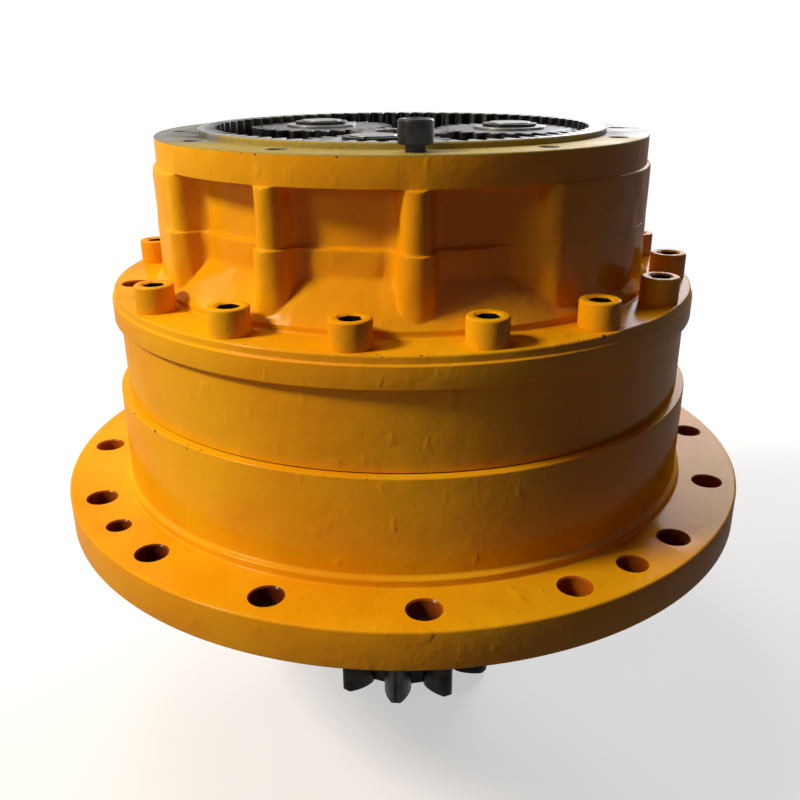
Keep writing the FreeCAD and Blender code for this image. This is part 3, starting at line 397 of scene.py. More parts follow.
@dataclass(frozen=True)
class Finish:
    """A finish whose material is made the first time it is asked for."""

    name: str

    def material(self) -> Material:
        """Gives the finish's material.

        Returns:
            The one material of this name.
        """
        made = bpy.data.materials.get(self.name)
        if made is None:
            made = bpy.data.materials.new(self.name)
            made.use_nodes = True
            tree = made.node_tree
            tree.nodes.clear()
            shader = self.draw(tree, node(tree, "ShaderNodeTexCoord").outputs["Object"])
            node(tree, "ShaderNodeOutputMaterial", {"Surface": shader})
        return made

    def draw(self, tree: NodeTree, place: NodeSocket) -> Node:
        """Draws the finish.

        Args:
            tree: The material's node tree.
            place: Object coordinates.

        Returns:
            The Principled shader.
        """
        raise NotImplementedError

    def dress(self, piece: Object) -> None:
        """Gives a piece this one material."""
        piece.data.materials.clear()
        piece.data.materials.append(self.material())


@dataclass(frozen=True)
class SprayedEnamel(Finish):
    """Alkyd machine enamel, sprayed thick over sand-cast and turned iron.

    It is a deep orange-yellow gloss with orange peel, the casting's humps showing through, soft runs and
    small chips down to primer on the edges that get knocked.
    """

    name: str = "alkyd_enamel_sprayed_on_iron"
    colour: str = "#E9A710"
    thin: str = "#E2970B"           # where the coat is thin
    primer: str = "#4A3A30"
    peel: float = 0.0030            # one dimple, drawn coarser than the real 1 mm so that it shows
    humps: float = 0.018            # one hump of the sand-cast skin
    cloud: float = 0.110            # one patch of thinner paint
    run_width: float = 0.012
    run_length: float = 0.020
    chip: float = 0.0050
    chip_rough: float = 0.75
    knocked: tuple[tuple[float, float], ...] = ((0.252, 0.203), (0.256, 0.1165), (0.207, 0.3234))
    knock_reach: float = 0.0026     # chips lie this near to a knocked edge, given by radius and height

    def draw(self, tree: NodeTree, place: NodeSocket) -> Node:
        """Draws the enamel and its chips.

        Args:
            tree: The material's node tree.
            place: Object coordinates.

        Returns:
            The Principled shader.
        """
        cloud, humps, peel = (
            node(tree, "ShaderNodeTexNoise", {"Vector": place, "Scale": 1 / size, "Detail": detail})
            for size, detail in ((self.cloud, 2.0), (self.humps, 2.0), (self.peel, 1.0)))
        stretched = node(tree, "ShaderNodeMapping", {
            "Vector": place, "Scale": (1 / self.run_width, 1 / self.run_width, 1 / self.run_length)})
        streaks = node(tree, "ShaderNodeTexNoise", {"Vector": stretched, "Scale": 1.0, "Detail": 1.0})
        runs = node(tree, "ShaderNodeMapRange", {"Value": streaks, "From Min": 0.62, "From Max": 0.80},
                    interpolation_type="SMOOTHSTEP")
        chips = self.chips(tree, place)
        thickness = node(tree, "ShaderNodeMapRange", {"Value": cloud, "From Min": 0.40, "From Max": 0.62})
        paint = node(tree, "ShaderNodeMix", {0: thickness, 6: self.thin, 7: self.colour}, data_type="RGBA")
        colour = node(tree, "ShaderNodeMix", {0: chips, 6: paint.outputs[2], 7: self.primer},
                      data_type="RGBA")
        gloss = node(tree, "ShaderNodeMapRange", {"Value": humps, "To Min": 0.26, "To Max": 0.40})
        rough = node(tree, "ShaderNodeMix", {0: chips, 2: gloss, 3: self.chip_rough})
        under: dict[str, Node] = {}
        for height, depth, strength in ((humps, 0.0013, 0.6), (runs, 0.0007, 0.5), (peel, 0.00024, 0.7)):
            bump = {"Height": height, "Distance": depth, "Strength": strength}
            under = {"Normal": node(tree, "ShaderNodeBump", bump | under)}
        chipped = node(tree, "ShaderNodeBump", {"Height": chips, "Distance": 0.0003, "Strength": 1.0} | under,
                       invert=True)
        return node(tree, "ShaderNodeBsdfPrincipled", {
            "Base Color": colour.outputs[2], "Roughness": rough, "Normal": chipped, "IOR": 1.5,
            "Specular IOR Level": 0.0, "Coat Weight": 0.13, "Coat Roughness": 0.16})

    def chips(self, tree: NodeTree, place: NodeSocket) -> Node:
        """Finds the chips, which lie only along the edges that get knocked.

        Args:
            tree: The material's node tree.
            place: Object coordinates.

        Returns:
            A node that gives 1 inside a chip and 0 elsewhere.
        """
        speckle = node(tree, "ShaderNodeTexNoise", {"Vector": place, "Scale": 1 / self.chip, "Detail": 2.0})
        spots = node(tree, "ShaderNodeMath", {0: speckle, 1: 0.69}, operation="GREATER_THAN")
        axes = node(tree, "ShaderNodeSeparateXYZ", {0: place})
        flat = node(tree, "ShaderNodeCombineXYZ", {"X": axes.outputs["X"], "Y": axes.outputs["Y"]})
        radius = node(tree, "ShaderNodeVectorMath", {0: flat}, operation="LENGTH")
        across = node(tree, "ShaderNodeCombineXYZ", {"X": radius.outputs["Value"], "Y": axes.outputs["Z"]})
        near = None
        for edge in self.knocked:
            away = node(tree, "ShaderNodeVectorMath", {0: across, 1: (*edge, 0)}, operation="DISTANCE")
            beside = node(tree, "ShaderNodeMath", {0: away.outputs["Value"], 1: self.knock_reach},
                          operation="LESS_THAN")
            near = node(tree, "ShaderNodeMath", {0: near, 1: beside}, operation="MAXIMUM") if near else beside
        return node(tree, "ShaderNodeMath", {0: spots, 1: near}, operation="MULTIPLY")


@dataclass(frozen=True)
class FacedIron(Finish):
    """Ductile iron faced on a lathe: grey with fine rings, greenish yellow where overspray has dusted it."""

    name: str = "ductile_iron_faced_with_overspray"
    colour: str = "#7C7B75"
    stain: str = "#4A473F"
    overspray: str = "#A8923A"
    ring: float = 0.0016            # pitch of the tool's rings, coarser than the real 0.3 mm so that it shows
    ring_depth: float = 0.00015
    blot: float = 0.030
    grit: float = 0.003             # one grain of the overspray's broken edge
    spray_from: float = 0.145       # distance from the X axis, with the wander added, where it starts
    spray_wander: float = 0.12
    spray_fade: float = 0.04

    def draw(self, tree: NodeTree, place: NodeSocket) -> Node:
        """Draws the faced iron and its overspray.

        Args:
            tree: The material's node tree.
            place: Object coordinates.

        Returns:
            The Principled shader.
        """
        axes = node(tree, "ShaderNodeSeparateXYZ", {0: place})
        flat = node(tree, "ShaderNodeCombineXYZ", {"X": axes.outputs["X"], "Y": axes.outputs["Y"]})
        radius = node(tree, "ShaderNodeVectorMath", {0: flat}, operation="LENGTH")
        rings = node(tree, "ShaderNodeTexNoise", {"W": radius.outputs["Value"], "Scale": 1 / self.ring,
                                                  "Detail": 1.0}, noise_dimensions="1D")
        blots, grit = (node(tree, "ShaderNodeTexNoise", {"Vector": place, "Scale": 1 / size, "Detail": 3.0})
                       for size in (self.blot, self.grit))
        stained = node(tree, "ShaderNodeMapRange", {"Value": blots, "From Min": 0.42, "From Max": 0.66})
        metal = node(tree, "ShaderNodeMix", {0: stained, 6: self.colour, 7: self.stain}, data_type="RGBA")
        away = node(tree, "ShaderNodeMath", {0: axes.outputs["Y"]}, operation="ABSOLUTE")
        wander = node(tree, "ShaderNodeMath", {0: blots, 1: self.spray_wander, 2: away},
                      operation="MULTIPLY_ADD")
        dusted = node(tree, "ShaderNodeMapRange", {"Value": wander, "From Min": self.spray_from,
                                                   "From Max": self.spray_from + self.spray_fade})
        thin = node(tree, "ShaderNodeMapRange", {"Value": grit, "From Min": 0.30, "From Max": 0.6,
                                                 "To Min": 0.55})
        cover = node(tree, "ShaderNodeMath", {0: dusted, 1: thin}, operation="MULTIPLY")
        colour = node(tree, "ShaderNodeMix", {0: cover, 6: metal.outputs[2], 7: self.overspray},
                      data_type="RGBA")
        metallic = node(tree, "ShaderNodeMapRange", {"Value": cover, "To Min": 0.25, "To Max": 0.0})
        rough = node(tree, "ShaderNodeMapRange", {"Value": blots, "To Min": 0.46, "To Max": 0.72})
        turned = node(tree, "ShaderNodeBump", {"Height": rings, "Distance": self.ring_depth, "Strength": 0.6})
        return node(tree, "ShaderNodeBsdfPrincipled", {
            "Base Color": colour.outputs[2], "Metallic": metallic, "Roughness": rough, "Normal": turned,
            "Specular IOR Level": 0.1})


@dataclass(frozen=True)
class OiledMetal(Finish):
    """A bare metal under a film of gear oil: its own colour, darker where old oil lies."""

    name: str
    colour: str
    oil: str
    metallic: float
    rough: tuple[float, float]      # over the grain
    oiled: tuple[float, float]      # the noise at which oil starts and at which it hides the metal
    blot: float = 0.022
    grain: float = 0.0012           # grinding or cutting marks, coarser than real so that they show
    grain_depth: float = 0.00005
    stretch: float = 4.0            # the marks are this much longer than they are high

    def draw(self, tree: NodeTree, place: NodeSocket) -> Node:
        """Draws the oiled metal.

        Args:
            tree: The material's node tree.
            place: Object coordinates.

        Returns:
            The Principled shader.
        """
        blots = node(tree, "ShaderNodeTexNoise", {"Vector": place, "Scale": 1 / self.blot, "Detail": 4.0})
        long = node(tree, "ShaderNodeMapping", {
            "Vector": place, "Scale": (1 / self.stretch, 1 / self.stretch, 1.0)})
        grain = node(tree, "ShaderNodeTexNoise", {"Vector": long, "Scale": 1 / self.grain, "Detail": 2.0})
        wet = node(tree, "ShaderNodeMapRange", {"Value": blots, "From Min": self.oiled[0],
                                                "From Max": self.oiled[1]})
        colour = node(tree, "ShaderNodeMix", {0: wet, 6: self.colour, 7: self.oil}, data_type="RGBA")
        rough = node(tree, "ShaderNodeMapRange", {"Value": grain, "To Min": self.rough[0],
                                                  "To Max": self.rough[1]})
        bump = node(tree, "ShaderNodeBump", {"Height": grain, "Distance": self.grain_depth, "Strength": 0.6})
        return node(tree, "ShaderNodeBsdfPrincipled", {
            "Base Color": colour.outputs[2], "Metallic": self.metallic, "Roughness": rough, "Normal": bump})


@dataclass(frozen=True)
class NitrileRubber(Finish):
    """Moulded nitrile seal rubber: near black, matt, with a faint bloom."""

    name: str = "nitrile_rubber_moulded"
    colour: str = "#17181A"
    bloom: str = "#2C2C2B"
    speck: float = 0.004
    speck_depth: float = 0.0001

    def draw(self, tree: NodeTree, place: NodeSocket) -> Node:
        """Draws the rubber.

        Args:
            tree: The material's node tree.
            place: Object coordinates.

        Returns:
            The Principled shader.
        """
        specks = node(tree, "ShaderNodeTexNoise", {"Vector": place, "Scale": 1 / self.speck, "Detail": 3.0})
        colour = node(tree, "ShaderNodeMix", {0: specks, 6: self.colour, 7: self.bloom}, data_type="RGBA")
        rough = node(tree, "ShaderNodeMapRange", {"Value": specks, "To Min": 0.5, "To Max": 0.75})
        bump = node(tree, "ShaderNodeBump", {"Height": specks, "Distance": self.speck_depth, "Strength": 0.4})
        return node(tree, "ShaderNodeBsdfPrincipled", {
            "Base Color": colour.outputs[2], "Roughness": rough, "Normal": bump, "IOR": 1.52})


ENAMEL = SprayedEnamel()
# Bores get a darker enamel: partly a thin coat with red-brown primer showing through, partly the shade inside
# the bores painted into the colour.
BORE_THIN_COAT_AND_PAINTED_SHADE = SprayedEnamel("bore_thin_enamel_and_painted_shade", "#A8560C", "#5A2410")
FACED_IRON = FacedIron()
SEAL_RUBBER = NitrileRubber()
# The bare metals: name, colours of the metal and the oil, metallic, then the ranges that OiledMetal names.
# Unpainted inner walls: sand-cast skin, dark with oil.
CAST_INSIDE = OiledMetal("ductile_iron_as_cast_inside", "#4A4744", "#1A1613", 0.6, (0.45, 0.65), (0.40, 0.70),
                         0.030, 0.004, 0.0004)
# Carburised and ground tooth flanks: dark grey with a satin glint.
GEAR_STEEL = OiledMetal("case_hardened_gear_steel", "#504E4B", "#24211E", 1.0, (0.26, 0.44), (0.34, 0.70))
# Induction-hardened forging, black with scale and grease.
PINION_STEEL = OiledMetal("forged_pinion_steel_greased", "#2A2827", "#0C0B0A", 0.85, (0.28, 0.5),
                          (0.36, 0.62))
# Hot blackening: near black, with a soft sheen.
BLACKED_STEEL = OiledMetal("blackened_alloy_steel", "#262523", "#100E0D", 0.8, (0.32, 0.5), (0.45, 0.75),
                           0.012)
# Ground races and rollers: bright and nearly polished.
BEARING_STEEL = OiledMetal("ground_bearing_steel", "#B4B2AE", "#4A4030", 1.0, (0.12, 0.26), (0.50, 0.85))
# Turned and left bare: mid grey.
TURNED_STEEL = OiledMetal("turned_mild_steel", "#8C8A86", "#3A342C", 1.0, (0.28, 0.46), (0.46, 0.80))
# Leaded bronze bushes and washers: dull gold.
BUSH_BRONZE = OiledMetal("leaded_bronze_turned", "#A67C3C", "#3A2A14", 1.0, (0.28, 0.46), (0.46, 0.80))
# Machined spheroidal iron of the carriers: dark grey, slightly rough.
CARRIER_IRON = OiledMetal("machined_carrier_iron", "#484643", "#25221F", 0.9, (0.36, 0.56), (0.34, 0.72),
                          0.026)
CASING_FINISHES = (ENAMEL, FACED_IRON, CAST_INSIDE, BORE_THIN_COAT_AND_PAINTED_SHADE)   # by number of the surface


def lumpy(body: BMesh, lump: float, depth: float, share: Callable[[Vector], float]) -> None:
    """Makes a cast skin uneven, as a sand mould leaves it, with finer lumps on the large ones.

    Args:
        body: The mesh that is changed.
        lump: Width of one lump.
        depth: Height of the lumps.
        share: Gives from 0 to 1 how much a point moves.
    """
    finer, weaker = 2.7, 0.4
    body.normal_update()
    moves = []
    for vertex in body.verts:
        much = share(vertex.co)
        if much > 0.0:
            rise = noise.noise(vertex.co / lump) + weaker * noise.noise(vertex.co * finer / lump)
            moves.append((vertex, vertex.normal * rise * depth * much))
    for vertex, move in moves:
        vertex.co += move


@dataclass
class UpperCasing:
    """Cast drum of the first stage: a bolted rim, tapped columns with pockets between them, and the mouth."""

    holes: int = 12
    columns_from: int = -2          # pockets follow the tapped holes -2, -1 and 0, and their opposites
    pockets: int = 3
    rim_radius: float = 0.254
    rim_step: float = 0.002
    rim_step_height: float = 0.007
    rim_height: float = 0.024
    rim_edge: float = 0.0018
    edge: float = 0.0012            # rounding of the turned edges
    fine_edge: float = 0.0006
    step_radius: float = 0.216
    step_height: float = 0.005
    step_edge: float = 0.0014
    drum_radius: float = 0.210
    wall_radius: float = 0.185
    column_half: float = 0.0108
    pocket_fillet: float = 0.0135
    lobe_sweep: float = 0.058       # how much larger that fillet is at the foot of a lobe's near end
    sweep_at_band: float = 0.40     # share of that at the band's height
    slope_height: float = 0.029
    band_height: float = 0.079
    band_grow: float = 0.0025       # how far the foot of a column stands out
    shelf_grow: float = 0.0042      # and the foot of a pocket's wall
    flush_grow: float = 0.0001      # and the foot of a lobe, just enough to keep its two corners apart
    shelf_fade: tuple[float, float] = (3.0, 5.0)    # from the column into the pocket: start and width
    sweep_fade: tuple[float, float] = (8.0, 6.0)    # the same beside a swept lobe
    lobe_fade: float = 5.0          # from the column along the lobe
    band_round: float = 0.0035
    lump: float = 0.019
    lump_depth: float = 0.0009
    lump_fade: float = 0.006        # from the turned flanges into the cast skin
    drum_height: float = 0.122
    top_radius: float = 0.207
    under_fillet: float = 0.006     # casting fillet under the top flange
    floor_fillet: float = 0.007
    mouth_radius: float = 0.1725
    ring_seat: float = 0.067
    throat_radius: float = 0.164
    cavity_radius: float = 0.200
    cavity_height: float = 0.027
    cavity_round: float = 0.004
    throat_rise: float = 0.012
    spigot_radius: float = 0.221
    spigot: float = 0.005
    tapped_circle: float = 0.188
    tapped_radius: float = 0.007
    tapped_depth: float = 0.040
    tapped_sink: float = 0.001
    screw_circle: float = 0.234
    screw_places: int = 16
    screw_hole_radius: float = 0.011
    puller_radius: float = 0.0045
    puller_sink: float = 0.0008
    puller_places: tuple[int, int] = (-3, 5)
    nose_cuts: int = 10             # sections on half a column's nose, on its side and on half a wall
    side_cuts: int = 12
    wall_cuts: int = 8
    lobe_cuts: int = 36             # and between two holes of a lobe
    past_fillet: float = 0.4        # how far beyond the fillet the wall's sections start

    def __post_init__(self) -> None:
        """Reads the casing's heights from its CAD node."""
        low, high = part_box("upper_casing")
        self.seam = low.z + self.spigot
        self.rim_top = self.seam + self.rim_height
        self.step_top = self.rim_top + self.step_height
        self.drum_top = self.seam + self.drum_height
        self.top = high.z
        self.pitch = 360.0 / self.holes

    def is_pocket(self, turn: float) -> bool:
        """Tells whether a turn lies in a pocket rather than on a wide lobe."""
        cell = math.floor(turn / self.pitch) - self.columns_from
        return cell % (self.holes // 2) < self.pockets

    def is_swept(self, turn: float) -> bool:
        """Tells whether the nearest column is the end of a lobe that the pocket's wall sweeps into."""
        column = round(turn / self.pitch) * self.pitch
        return self.is_pocket(column - 1.0) and not self.is_pocket(column + 1.0)

    def off_column(self, turn: float) -> float:
        """Gives the degrees from a turn to the nearest column."""
        return abs((turn + self.pitch / 2) % self.pitch - self.pitch / 2)

    def plan_radius(self, turn: float, grow: float, swept: float = 0.0) -> float:
        """Gives the drum's plan at a turn.

        Args:
            turn: Degrees from the front towards +X.
            grow: How far the plan stands out from the plain drum.
            swept: Share of the lobe's sweep at this height.

        Returns:
            The radius of the outline there.
        """
        if not self.is_pocket(turn):
            return self.drum_radius + grow
        away = math.radians(self.off_column(turn))
        nose_radius = self.column_half + grow
        nose_out = self.drum_radius - self.column_half
        fillet = self.pocket_fillet + (self.lobe_sweep * swept if self.is_swept(turn) else 0.0)
        fillet_side = self.column_half + fillet
        fillet_out = self.wall_radius + fillet
        side_out = math.sqrt(fillet_out ** 2 - fillet_side ** 2)
        if side_out < nose_out:
            fillet_turn = math.asin(fillet_side / fillet_out)
            nose_turn, side_turn = math.atan(nose_radius / nose_out), math.atan(nose_radius / side_out)
        else:
            fillet_turn = math.acos((nose_out ** 2 + fillet_out ** 2 - fillet_side ** 2)
                                    / (2 * nose_out * fillet_out))
            reach = nose_radius / fillet_side
            nose_turn = math.atan2(reach * fillet_out * math.sin(fillet_turn),
                                   nose_out + reach * (fillet_out * math.cos(fillet_turn) - nose_out))
            side_turn = nose_turn
        if away <= nose_turn:
            return nose_out * math.cos(away) + math.sqrt(nose_radius ** 2 - (nose_out * math.sin(away)) ** 2)
        if away <= side_turn:
            return nose_radius / math.sin(away)
        if away < fillet_turn:
            beside = fillet_turn - away
            reach = max((fillet - grow) ** 2 - (fillet_out * math.sin(beside)) ** 2, 0.0)
            return fillet_out * math.cos(beside) - math.sqrt(reach)
        return self.wall_radius + grow

    def grow(self, turn: float) -> float:
        """Gives how far the drum's foot stands out below the band.

        Args:
            turn: Degrees from the front towards +X.

        Returns:
            The distance; the wide lobes and the swept ends have next to none.
        """
        away, in_pocket = self.off_column(turn), self.is_pocket(turn)
        if self.is_swept(turn):
            return self.flush_grow + (self.shelf_grow * faded(away, *self.sweep_fade) if in_pocket else 0.0)
        if in_pocket:
            return self.band_grow + (self.shelf_grow - self.band_grow) * faded(away, *self.shelf_fade)
        beside = any(self.is_pocket(turn + side * (away + 1.0)) for side in (-1, 1))
        blend = faded(away, 0.0, self.lobe_fade) if beside else 1.0
        return self.band_grow + (self.flush_grow - self.band_grow) * blend

    def turns(self) -> list[float]:
        """Gives the turns of the sections, close together on the columns' sides.

        Returns:
            The turns in degrees, once round.
        """
        half = self.pitch / 2
        nose = math.degrees(math.atan((self.column_half + self.band_grow)
                                      / (self.drum_radius - self.column_half)))
        wall = math.degrees(math.asin((self.column_half + self.pocket_fillet)
                                      / (self.wall_radius + self.pocket_fillet))) + self.past_fillet
        half_cell = ([nose * math.sin(math.pi / 2 * k / self.nose_cuts) for k in range(self.nose_cuts)]
                     + [nose + (wall - nose) * k / self.side_cuts for k in range(self.side_cuts)]
                     + [wall + (half - wall) * k / self.wall_cuts for k in range(self.wall_cuts)])
        pocket = half_cell + [half] + [self.pitch - value for value in reversed(half_cell[1:])]
        lobe = [self.pitch * k / self.lobe_cuts for k in range(self.lobe_cuts)]
        return [first + value for first in spaced(self.holes)
                for value in (pocket if self.is_pocket(first + 1.0) else lobe)]

    def section(self, turn: float) -> Section:
        """Draws the casing's section at a turn.

        Args:
            turn: Degrees from the front towards +X.

        Returns:
            The closed section, from the seam outwards and up.
        """
        grow = self.grow(turn)
        plain, foot_out = self.plan_radius(turn, 0.0), self.plan_radius(turn, grow, 1.0)
        above = self.plan_radius(turn, 0.0, self.sweep_at_band)
        below = self.plan_radius(turn, grow, self.sweep_at_band)
        slope_foot, slope_head = self.step_radius, self.wall_radius + self.shelf_grow
        floor = self.step_top + self.slope_height * (slope_foot - foot_out) / (slope_foot - slope_head)
        # Each rounding gives way where an edge beside it is short, so that arcs never overlap.
        shelf, least = plain - self.top_radius, self.flush_grow / 2
        if abs(shelf) < least:
            shelf, plain = least, self.top_radius + least
        under = min(self.under_fillet, 0.9 * abs(shelf))
        foot = min(self.floor_fillet, 0.8 * (slope_foot - foot_out) + 0.0004)
        band, band_round = self.seam + self.band_height, min(self.band_round, 0.5 * grow)
        lip, lip_height = self.rim_radius - self.rim_step, self.rim_top - self.rim_step_height
        seat_height, cavity_top = self.top - self.ring_seat, self.seam + self.cavity_height
        machined, inside = Surface.MACHINED, Surface.INSIDE
        return rounded([
            Corner(self.spigot_radius, self.seam),
            Corner(self.rim_radius, self.seam, self.edge),
            Corner(self.rim_radius, lip_height, self.fine_edge),
            Corner(lip, lip_height + self.edge, self.fine_edge),
            Corner(lip, self.rim_top, self.rim_edge),
            Corner(self.step_radius, self.rim_top, self.rim_edge),
            Corner(self.step_radius, self.step_top, self.step_edge, cuts=4),
            Corner(foot_out, floor, foot, cuts=5),
            Corner(below, band, band_round),
            Corner(above, band, band_round, cuts=6),
            Corner(plain, self.drum_top, under),
            Corner(self.top_radius, self.drum_top, min(0.0008, 0.09 * abs(shelf))),
            Corner(self.top_radius, self.top, self.edge, machined),
            Corner(self.mouth_radius, self.top, self.fine_edge, machined),
            Corner(self.mouth_radius, seat_height, 0.0, inside),
            Corner(self.throat_radius, seat_height, 0.0, inside),
            Corner(self.throat_radius, cavity_top + self.throat_rise, 0.0, inside),
            Corner(self.cavity_radius, cavity_top, self.cavity_round, inside),
            Corner(self.cavity_radius, self.seam - self.spigot, 0.0, machined),
            Corner(self.spigot_radius, self.seam - self.spigot, 0.0, machined),
        ])

    def cast_share(self, point: Vector) -> float:
        """Tells how much a point has the cast skin: all of it on the drum, none where it is turned.

        Args:
            point: A point of the casing.

        Returns:
            The share, from 0 to 1.
        """
        if point.xy.length < self.wall_radius - 0.001:
            return 0.0
        return faded(min(point.z - self.step_top, self.drum_top - point.z), 0.0, self.lump_fade)

    def build(self) -> None:
        """Builds the casting and drills it."""
        body = skinned(self.turns(), self.section)
        lumpy(body, self.lump, self.lump_depth, self.cast_share)
        casting = finished("upper_casing_casting", body, *CASING_FINISHES)
        pitch = 360.0 / self.screw_places
        holes = [Hole(self.tapped_radius, self.tapped_circle, turn, self.top, self.top - self.tapped_depth,
                      self.tapped_sink) for turn in spaced(self.holes)]
        holes += [Hole(self.screw_hole_radius, self.screw_circle, turn, self.rim_top, self.seam, self.edge,
                       surface=Surface.BORE) for turn in spaced(self.screw_places, pitch / 2)]
        holes += [Hole(self.puller_radius, self.screw_circle, place * pitch, self.rim_top, self.seam,
                       self.puller_sink, surface=Surface.BORE) for place in self.puller_places]
        drill(casting, holes)
        seat(casting, "upper_casing")


@dataclass
class LowerCasing:
    """Cast base: the mounting flange, the body, the neck below, and the sump and bearing tower inside."""

    flange_radius: float = 0.310
    flange_thickness: float = 0.032
    edge: float = 0.002             # rounding of the flange's and the pilot's edges
    foot_radius: float = 0.260
    foot_height: float = 0.006
    foot_rise: float = 0.002        # of the bevel from the foot to the body
    body_radius: float = 0.256
    pilot_radius: float = 0.250
    pilot_height: float = 0.012
    shoulder_radius: float = 0.205
    shoulder_height: float = -0.046
    neck_radius: float = 0.149
    bore_radius: float = 0.125
    groove: float = 0.005
    groove_low: float = -0.114
    groove_high: float = -0.110
    web_low: float = -0.028
    web_high: float = -0.008
    web_radius: float = 0.098
    cup_radius: float = 0.1075
    tower_radius: float = 0.1255
    tower_top: float = 0.056
    sump_radius: float = 0.205
    sump_floor: float = 0.026
    spigot: float = 0.005
    spigot_radius: float = 0.221
    mount_circle: float = 0.285
    mount_holes: int = 16
    mount_hole_radius: float = 0.012
    mount_sink: float = 0.0012
    mount_sink_below: float = 0.0008
    locating_hole_radius: float = 0.011
    locating_place: float = 1.5     # counted in mounting holes from the front
    jack_hole_radius: float = 0.009
    jack_place: float = -2.5
    screw_circle: float = 0.234
    screw_radius: float = 0.010
    tap_bottom: float = 0.073
    turns: int = 320

    def __post_init__(self) -> None:
        """Reads the casing's heights from its CAD node."""
        low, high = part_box("lower_casing")
        self.bottom, self.seam = low.z, high.z

    def section(self) -> Section:
        """Draws the casing's section, which is the same at every turn.

        Returns:
            The closed section, from the neck's end outwards and up.
        """
        machined, inside = Surface.MACHINED, Surface.INSIDE
        foot_top, spigot_foot = self.flange_thickness + self.foot_height, self.seam - self.spigot
        groove_radius = self.bore_radius + self.groove
        return rounded([
            Corner(self.bore_radius, self.bottom, 0.0008, machined),
            Corner(self.neck_radius, self.bottom, 0.003),
            Corner(self.neck_radius, self.shoulder_height, 0.012),
            Corner(self.shoulder_radius, -self.pilot_height, 0.006),
            Corner(self.pilot_radius, -self.pilot_height, self.edge, machined),
            Corner(self.pilot_radius, 0.0, 0.0, machined),
            Corner(self.flange_radius, 0.0, self.edge),
            Corner(self.flange_radius, self.flange_thickness, self.edge),
            Corner(self.foot_radius, self.flange_thickness, 0.0015),
            Corner(self.foot_radius, foot_top, 0.0016),
            Corner(self.body_radius, foot_top + self.foot_rise, self.foot_rise),
            Corner(self.body_radius, self.seam, 0.0012),
            Corner(self.spigot_radius, self.seam, 0.0, machined),
            Corner(self.spigot_radius, spigot_foot, 0.0, machined),
            Corner(self.sump_radius, spigot_foot, 0.0, inside),
            Corner(self.sump_radius, self.sump_floor, 0.014, inside),
            Corner(self.tower_radius, self.sump_floor, 0.008, inside),
            Corner(self.tower_radius, self.tower_top, 0.002, machined),
            Corner(self.cup_radius, self.tower_top, 0.0008, machined),
            Corner(self.cup_radius, self.web_high, 0.0, machined),
            Corner(self.web_radius, self.web_high, 0.001, machined),
            Corner(self.web_radius, self.web_low, 0.001, machined),
            Corner(self.bore_radius, self.web_low, 0.0, machined),
            Corner(self.bore_radius, self.groove_high, 0.0, machined),
            Corner(groove_radius, self.groove_high, 0.0, machined),
            Corner(groove_radius, self.groove_low, 0.0, machined),
            Corner(self.bore_radius, self.groove_low, 0.0, machined),
        ])

    def build(self) -> None:
        """Builds the casting and drills it."""
        section = self.section()
        body = skinned(spaced(self.turns), lambda turn: section)
        casting = finished("lower_casing_casting", body, *CASING_FINISHES)
        pitch = 360.0 / self.mount_holes
        through = [(self.mount_hole_radius, turn) for turn in spaced(self.mount_holes)]
        through += [(self.locating_hole_radius, turn) for turn in spaced(2, self.locating_place * pitch)]
        through += [(self.jack_hole_radius, turn) for turn in spaced(2, self.jack_place * pitch)]
        holes = [Hole(radius, self.mount_circle, turn, self.flange_thickness, 0.0, self.mount_sink,
                      self.mount_sink_below, Surface.BORE) for radius, turn in through]
        holes += [Hole(self.screw_radius, self.screw_circle, turn, self.seam, self.tap_bottom)
                  for turn in spaced(self.mount_holes, pitch / 2)]
        drill(casting, holes)
        seat(casting, "lower_casing")


@dataclass
class MiddleBody:
    """Second ring gear, which is the painted middle body of the stack."""

    edge: float = 0.0010
    skin: float = 0.2485            # the painted outside lies beyond this radius

    def build(self) -> None:
        """Copies the ring gear with rounded edges and paints only its outside."""
        body = refined("second_ring_gear", "middle_body_ring", self.edge)
        GEAR_STEEL.dress(body)
        body.data.materials.append(ENAMEL.material())
        for face in body.data.polygons:
            face.material_index = int(face.center.xy.length > self.skin and abs(face.normal.z) < FLAT)


